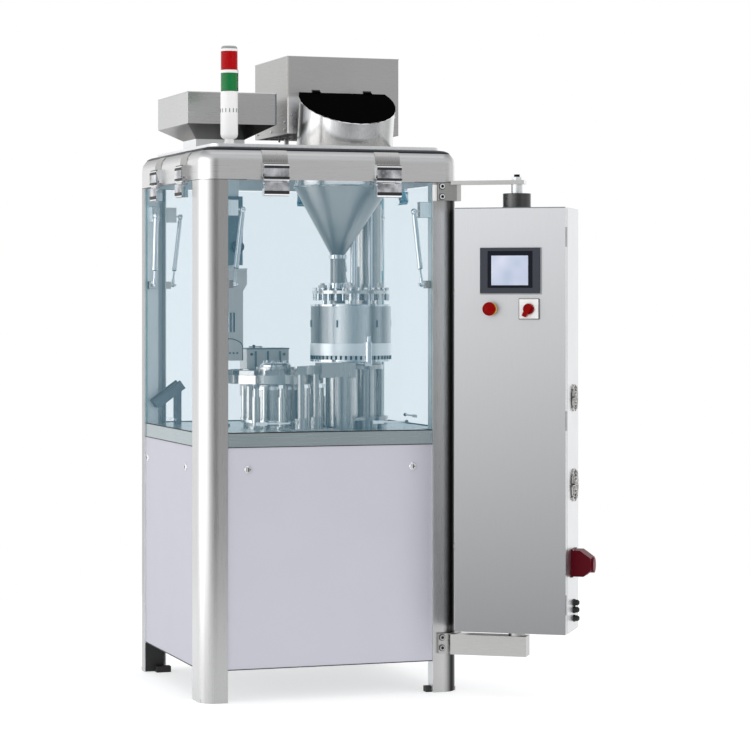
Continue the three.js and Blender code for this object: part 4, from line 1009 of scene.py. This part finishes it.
# Drive below the table: motor fins, terminal box, belt guard and bolts.
motor = Form()
for x in range(470, 650, 14):
    motor.ring((x, 395, 260), 84, 10, 4, axis=(1, 0, 0), sides=32)
motor.box(520, 590, 360, 430, 334, 372).rod((644, 395, 260), (662, 395, 260), 62, 32)
piece("motor_fins", motor, CAST, bevel=0.6)
guard = Form().box(262, 448, 284, 292, 160, 620)
for z in (190, 400, 600):
    for x in (276, 434):
        guard.rod((x, 280, z), (x, 286, z), 7, 6)
piece("gear_case_cover", guard, CAST, bevel=2.0)

# ---------------- control cabinet
low, high = swivel_box("touch_screen")
x, y, z = (low.x + high.x) / 2, low.y, (low.z + high.z) / 2
border = Form().box(x - 69, x + 70, y - 1.2, y + 1, z - 53, z + 59)
on_cabinet("screen_border", border, BLACK_TRIM_AND_SHADE, bevel=0.8, slot="bezel")
on_cabinet("screen_display", Form().box(x - 57, x + 57, y - 1.6, y, z - 45, z + 45), DISPLAY, bevel=0.3)
edge = Form().box(high.x - 0.5, high.x + 5, FACE - 1.2, FACE + 0.3, low.z - 1, high.z + 1)
edge.box(low.x - 1, high.x + 5, FACE - 1.2, FACE + 0.3, low.z - 4, low.z + 0.5)
on_cabinet("screen_gasket", edge, GREY_PLASTIC, bevel=0.3)

low, high = swivel_box("estop_button")
x, z = (low.x + high.x) / 2, (low.z + high.z) / 2
collar = Form().turned([(12, 0), (19.8, 0), (19.8, 1.6), (16, 3.5), (12, 3.5)], (x, FACE, z), (0, -1, 0), 40)
on_cabinet("estop_ring", collar, YELLOW, bevel=0.3)
cap = Form().turned([(0.5, 0), (19.6, 0), (20.8, 2), (20.4, 7), (16, 11), (9, 13.4), (0.5, 14.2)],
                    (x, low.y + 13.5, z), (0, -1, 0), 40)
on_cabinet("estop_cap", cap, RED, "estop_button", slot="button_red")

x, y, z = SWIVEL.inverted() @ Vector(JOINTS["main_switch_turn"]["pos_m"])
rim = Form()
for x0, x1, z0, z1 in ((-31.3, 31.3, 30.1, 31.3), (-31.3, 31.3, -31.3, -29.5),
                       (-31.3, -30.1, -30.5, 30.5), (29.5, 31.3, -30.5, 30.5)):
    rim.box(x + x0, x + x1, FACE - 5.6, FACE, z + z0, z + z1)
on_cabinet("switch_rim", rim, BLACK_TRIM_AND_SHADE, bevel=0.3)
on_cabinet("switch_dial", Form().ring((x, FACE - 5, z), 21, 3.5, 1.6, (0, -1, 0), 40), WHITE, bevel=0.3)

x0, x1, z0, z1 = DOOR_LOW.x, DOOR_HIGH.x, CABINET_FLOOR, CABINET_TOP
line = Form().box(x0 + 1, x1 - 1, FACE - 0.5, FACE + 3, z1 - 2.2, z1 + 0.6)
on_cabinet("door_top_line", line, DARK_STEEL_AND_SHADE, bevel=0.3)
seal = Form()
for box in ((x1 - 1.5, x1 + 0.4, z0 + 4, z1 - 4), (x0 - 0.4, x0 + 1.5, z0 + 4, z1 - 4),
            (x0 + 4, x1 - 4, z1 - 1.5, z1 + 0.4)):
    seal.box(*box[:2], FACE + 21.2, FACE + 22.8, *box[2:])
on_cabinet("door_seal", seal, RUBBER_AND_SHADOW, bevel=0.2)
skirt = Form().box(CABINET_LOW.x + 3, CABINET_HIGH.x - 3, FACE + 24, CABINET_HIGH.y - 3, z0 - 2.4, z0 + 0.5)
on_cabinet("cabinet_foot_line", skirt, RUBBER_AND_SHADOW, "cabinet")
spine = Form()
for z in (z0 + 90, (z0 + z1) / 2, z1 - 90):
    spine.post(x1 + 2.5, FACE + 5, z - 30, z + 30, 2.4, 16)
on_cabinet("door_hinge_knuckles", spine, CABINET_SIDE_LIT, bevel=0.3, slot="cabinet_steel")
locks = Form()
for z in (z0 + 260, z1 - 260):
    locks.turned([(0.5, 0), (11, 0), (11, 2), (9.5, 4), (0.5, 4)], (x0, FACE + 11, z), (-1, 0, 0), 28)
on_cabinet("door_locks", locks, STAINLESS_DEEP, bevel=0.3, slot="chrome")

SIDE_X = CABINET_HIGH.x


def fan_guard(number, y, z, radius):
    """Wire guard in front of a dark fan mouth on the cabinet's side."""
    # Fan mouth drawn as a black disc: painted shade in the opening.
    hole = Form().rod((SIDE_X - 1, y, z), (SIDE_X + 1.2, y, z), radius - 4, 40)
    on_cabinet(f"fan_mouth_{number}", hole, BLACK_TRIM_AND_SHADE, "cabinet")
    guard = Form()
    for share in (0.28, 0.52, 0.76, 1.0):
        loop = [(SIDE_X + 8 - 4 * share, y + u, z + v) for u, v in circle(36, radius * share)]
        guard.wire(loop, 2.2 if share == 1.0 else 1.5, closed=True)
    centre = Vector((SIDE_X + 6, y, z))
    for u, v in list(circle(8, radius, 45))[:4]:
        guard.rod(centre - Vector((0, u, v)), centre + Vector((0, u, v)), 1.5, 8)
    for u, v in circle(4, radius + 4, 45):
        guard.rod((SIDE_X, y + u, z + v), (SIDE_X + 6, y + u, z + v), 4.5, 12)
    on_cabinet(f"fan_guard_{number}", guard, BRIGHT_DIM, "cabinet", 0.1, "chrome")


fan_guard(1, 28, 912, 40)
fan_guard(2, 28, 645, 49)

glands = Form()
for z in (236, 262, 284):
    for start, end, radius, sides, end_radius in ((0, 5, 11, 6, 11), (4, 12, 9, 24, 9), (12, 17, 8.6, 24, 5.5)):
        glands.rod((SIDE_X + start, 30, z), (SIDE_X + end, 30, z), radius, sides, end_radius)
on_cabinet("cable_glands", glands, RUBBER_AND_SHADOW, "cabinet")
low, high = swivel_box("power_inlet")
inlet = Form().box(low.x, low.x + 5, low.y - 3, high.y + 3, low.z - 3, high.z + 3)
on_cabinet("inlet_flange", inlet, DARK_RED, "cabinet", 1.2, "inlet_red")
screws = Form()
for y in (low.y + 5, high.y - 5):
    for z in (low.z + 2, high.z - 2):
        screws.rod((low.x + 4, y, z), (low.x + 7.5, y, z), 3.6, 12)
on_cabinet("inlet_screws", screws, CHROME, "cabinet")

# Hub on the cabinet and bolts in the brackets.
hub_rings = Form().ring((0, 0, CABINET_TOP), 45, 5, 5, sides=56)
hub_rings.ring((0, 0, CABINET_HIGH.z - 1), 43, 20, 2.2, sides=56)
on_cabinet("hub_rings", hub_rings, HUB_STEEL, "cabinet", 0.6)


def bracket_bolts(name, mat, x, *heights):
    bolts, rings, sockets = Form(), Form(), Form()
    for z in heights:
        bolts.rod((x, -12, z), (x, -18, z), 8, 24)
        rings.ring((x, -12.6, z), 10.5, 2.4, 1.2, (0, -1, 0), 28)
        sockets.rod((x, -17.6, z), (x, -18.4, z), 5.2, 6)
    piece(name + "_bolts", bolts, mat, slot="chrome")
    piece(name + "_washers", rings, HUB_STEEL, bevel=0.2)
    # Hex sockets drawn as black plugs: painted shade in the recesses.
    piece(name + "_sockets", sockets, BLACK_TRIM_AND_SHADE, bevel=0.1)


low, high = local_box("cabinet_upper_arm")
bracket_bolts("upper_bracket", STAINLESS_PALE, low.x + 11, high.z - 67, high.z - 35)
low, high = local_box("cabinet_lower_arm")
bracket_bolts("lower_bracket", ARM_STEEL, low.x + 11, low.z + 20, low.z + 52)
# White strip painted as a highlight on the upper bracket's plate.
piece("bracket_painted_highlight", Form().box(736, 751, -1.2, 0.4, 1518, 1568), WHITE, bevel=0.3)


# ---------------- studio
def place_object(name, data, location):
    obj = bpy.data.objects.new(name, data)
    obj.location = location
    bpy.context.scene.collection.objects.link(obj)
    return obj


def camera():
    data = bpy.data.cameras.new("camera")
    data.lens = 124.8
    data.sensor_width = 36
    data.shift_y = -0.1028
    data.clip_end = 100
    view = place_object("camera", data, MACHINE @ Vector((-2021.15, -7540.41, 1218.56)))
    view.rotation_euler = (math.radians(90), 0, math.radians(-18.82))
    bpy.context.scene.camera = view


def floor():
    form = bmesh.new()
    bmesh.ops.create_grid(form, x_segments=4, y_segments=4, size=2.6)
    data = bpy.data.meshes.new("floor")
    form.to_mesh(data)
    form.free()
    mat, tree, shader = new_material("studio_floor", Roughness=0.8, Emission_Color=(1, 1, 1, 1),
                                     Emission_Strength=0.62)
    cloud = ramp(tree, noise(tree, 0.4, detail=1), (0.3, 0.5), (0.7, 0.52))
    tree.links.new(cloud, shader.inputs["Base Color"])
    data.materials.append(mat)
    place_object("floor", data, (0, 0, CAD_BOX[0].z - 0.0005))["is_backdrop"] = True


def area_light(name, place, target, size, power):
    data = bpy.data.lights.new(name, "AREA")
    data.shape = "RECTANGLE"
    data.size, data.size_y = size
    data.energy = power
    lamp = place_object(name, data, place)
    lamp.rotation_euler = (Vector(target) - Vector(place)).to_track_quat("-Z", "Y").to_euler()
    return lamp


# Brightness of the studio wall by bearing: 0 and 1 front, 0.25 left, 0.5 back, 0.75 right.
BANDS = ((0.0, 0.26), (0.02, 0.22), (0.05, 0.36), (0.08, 0.6), (0.114, 1.12), (0.15, 1.35),
         (0.2, 1.7), (0.25, 1.75), (0.35, 1.5), (0.4, 1.2), (0.45, 0.95), (0.5, 1.0),
         (0.56, 0.8), (0.61, 1.3), (0.66, 1.25), (0.7, 0.7), (0.74, 0.75), (0.774, 0.86),
         (0.82, 0.62), (0.866, 0.54), (0.905, 0.56), (0.945, 0.66), (0.975, 0.38))
DOME = (0.85, 0.86, 0.88, 1)
WHITE_LIGHT = (1, 1, 1, 1)


def world():
    """White studio; what reflects in the metal has a few soft grey bands round the horizon."""
    scene_world = bpy.data.worlds.new("studio")
    scene_world.use_nodes = True
    bpy.context.scene.world = scene_world
    tree = scene_world.node_tree
    coords = add_node(tree, "TexCoord", {}).outputs["Generated"]
    parts = add_node(tree, "SeparateXYZ", {"Vector": coords}).outputs
    bearing = add_node(tree, "Math", {0: parts["X"], 1: parts["Y"]}, operation="ARCTAN2")
    bands = ramp(tree, map_range(tree, bearing.outputs["Value"], -math.pi, math.pi), *BANDS)
    level = add_node(tree, "Math", {0: parts["Z"]}, operation="ABSOLUTE").outputs["Value"]
    dome = mix(tree, map_range(tree, level, 0.25, 0.5), bands, DOME)
    seen = add_node(tree, "LightPath", {}).outputs["Is Camera Ray"]
    tree.links.new(mix(tree, seen, dome, WHITE_LIGHT), tree.nodes["Background"].inputs["Color"])


camera()
floor()
world()
fill = area_light("fill", (2.6, -4.2, 2.2), (0.1, -0.4, 0.8), (3.0, 3.0), 60)
fill.visible_glossy = False
area_light("top", (0, 0, 4.5), (0, 0, 0), (4.0, 4.0), 30)
card = area_light("left_card", (-2.5, -0.45, 1.15), (-0.5, -0.45, 1.15), (2.7, 2.3), 13)
card.visible_diffuse = False
card.visible_camera = False
bpy.context.scene.view_settings.view_transform = "Standard"
bpy.context.scene.view_settings.look = "None"

bpy.context.view_layer.update()
low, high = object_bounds()
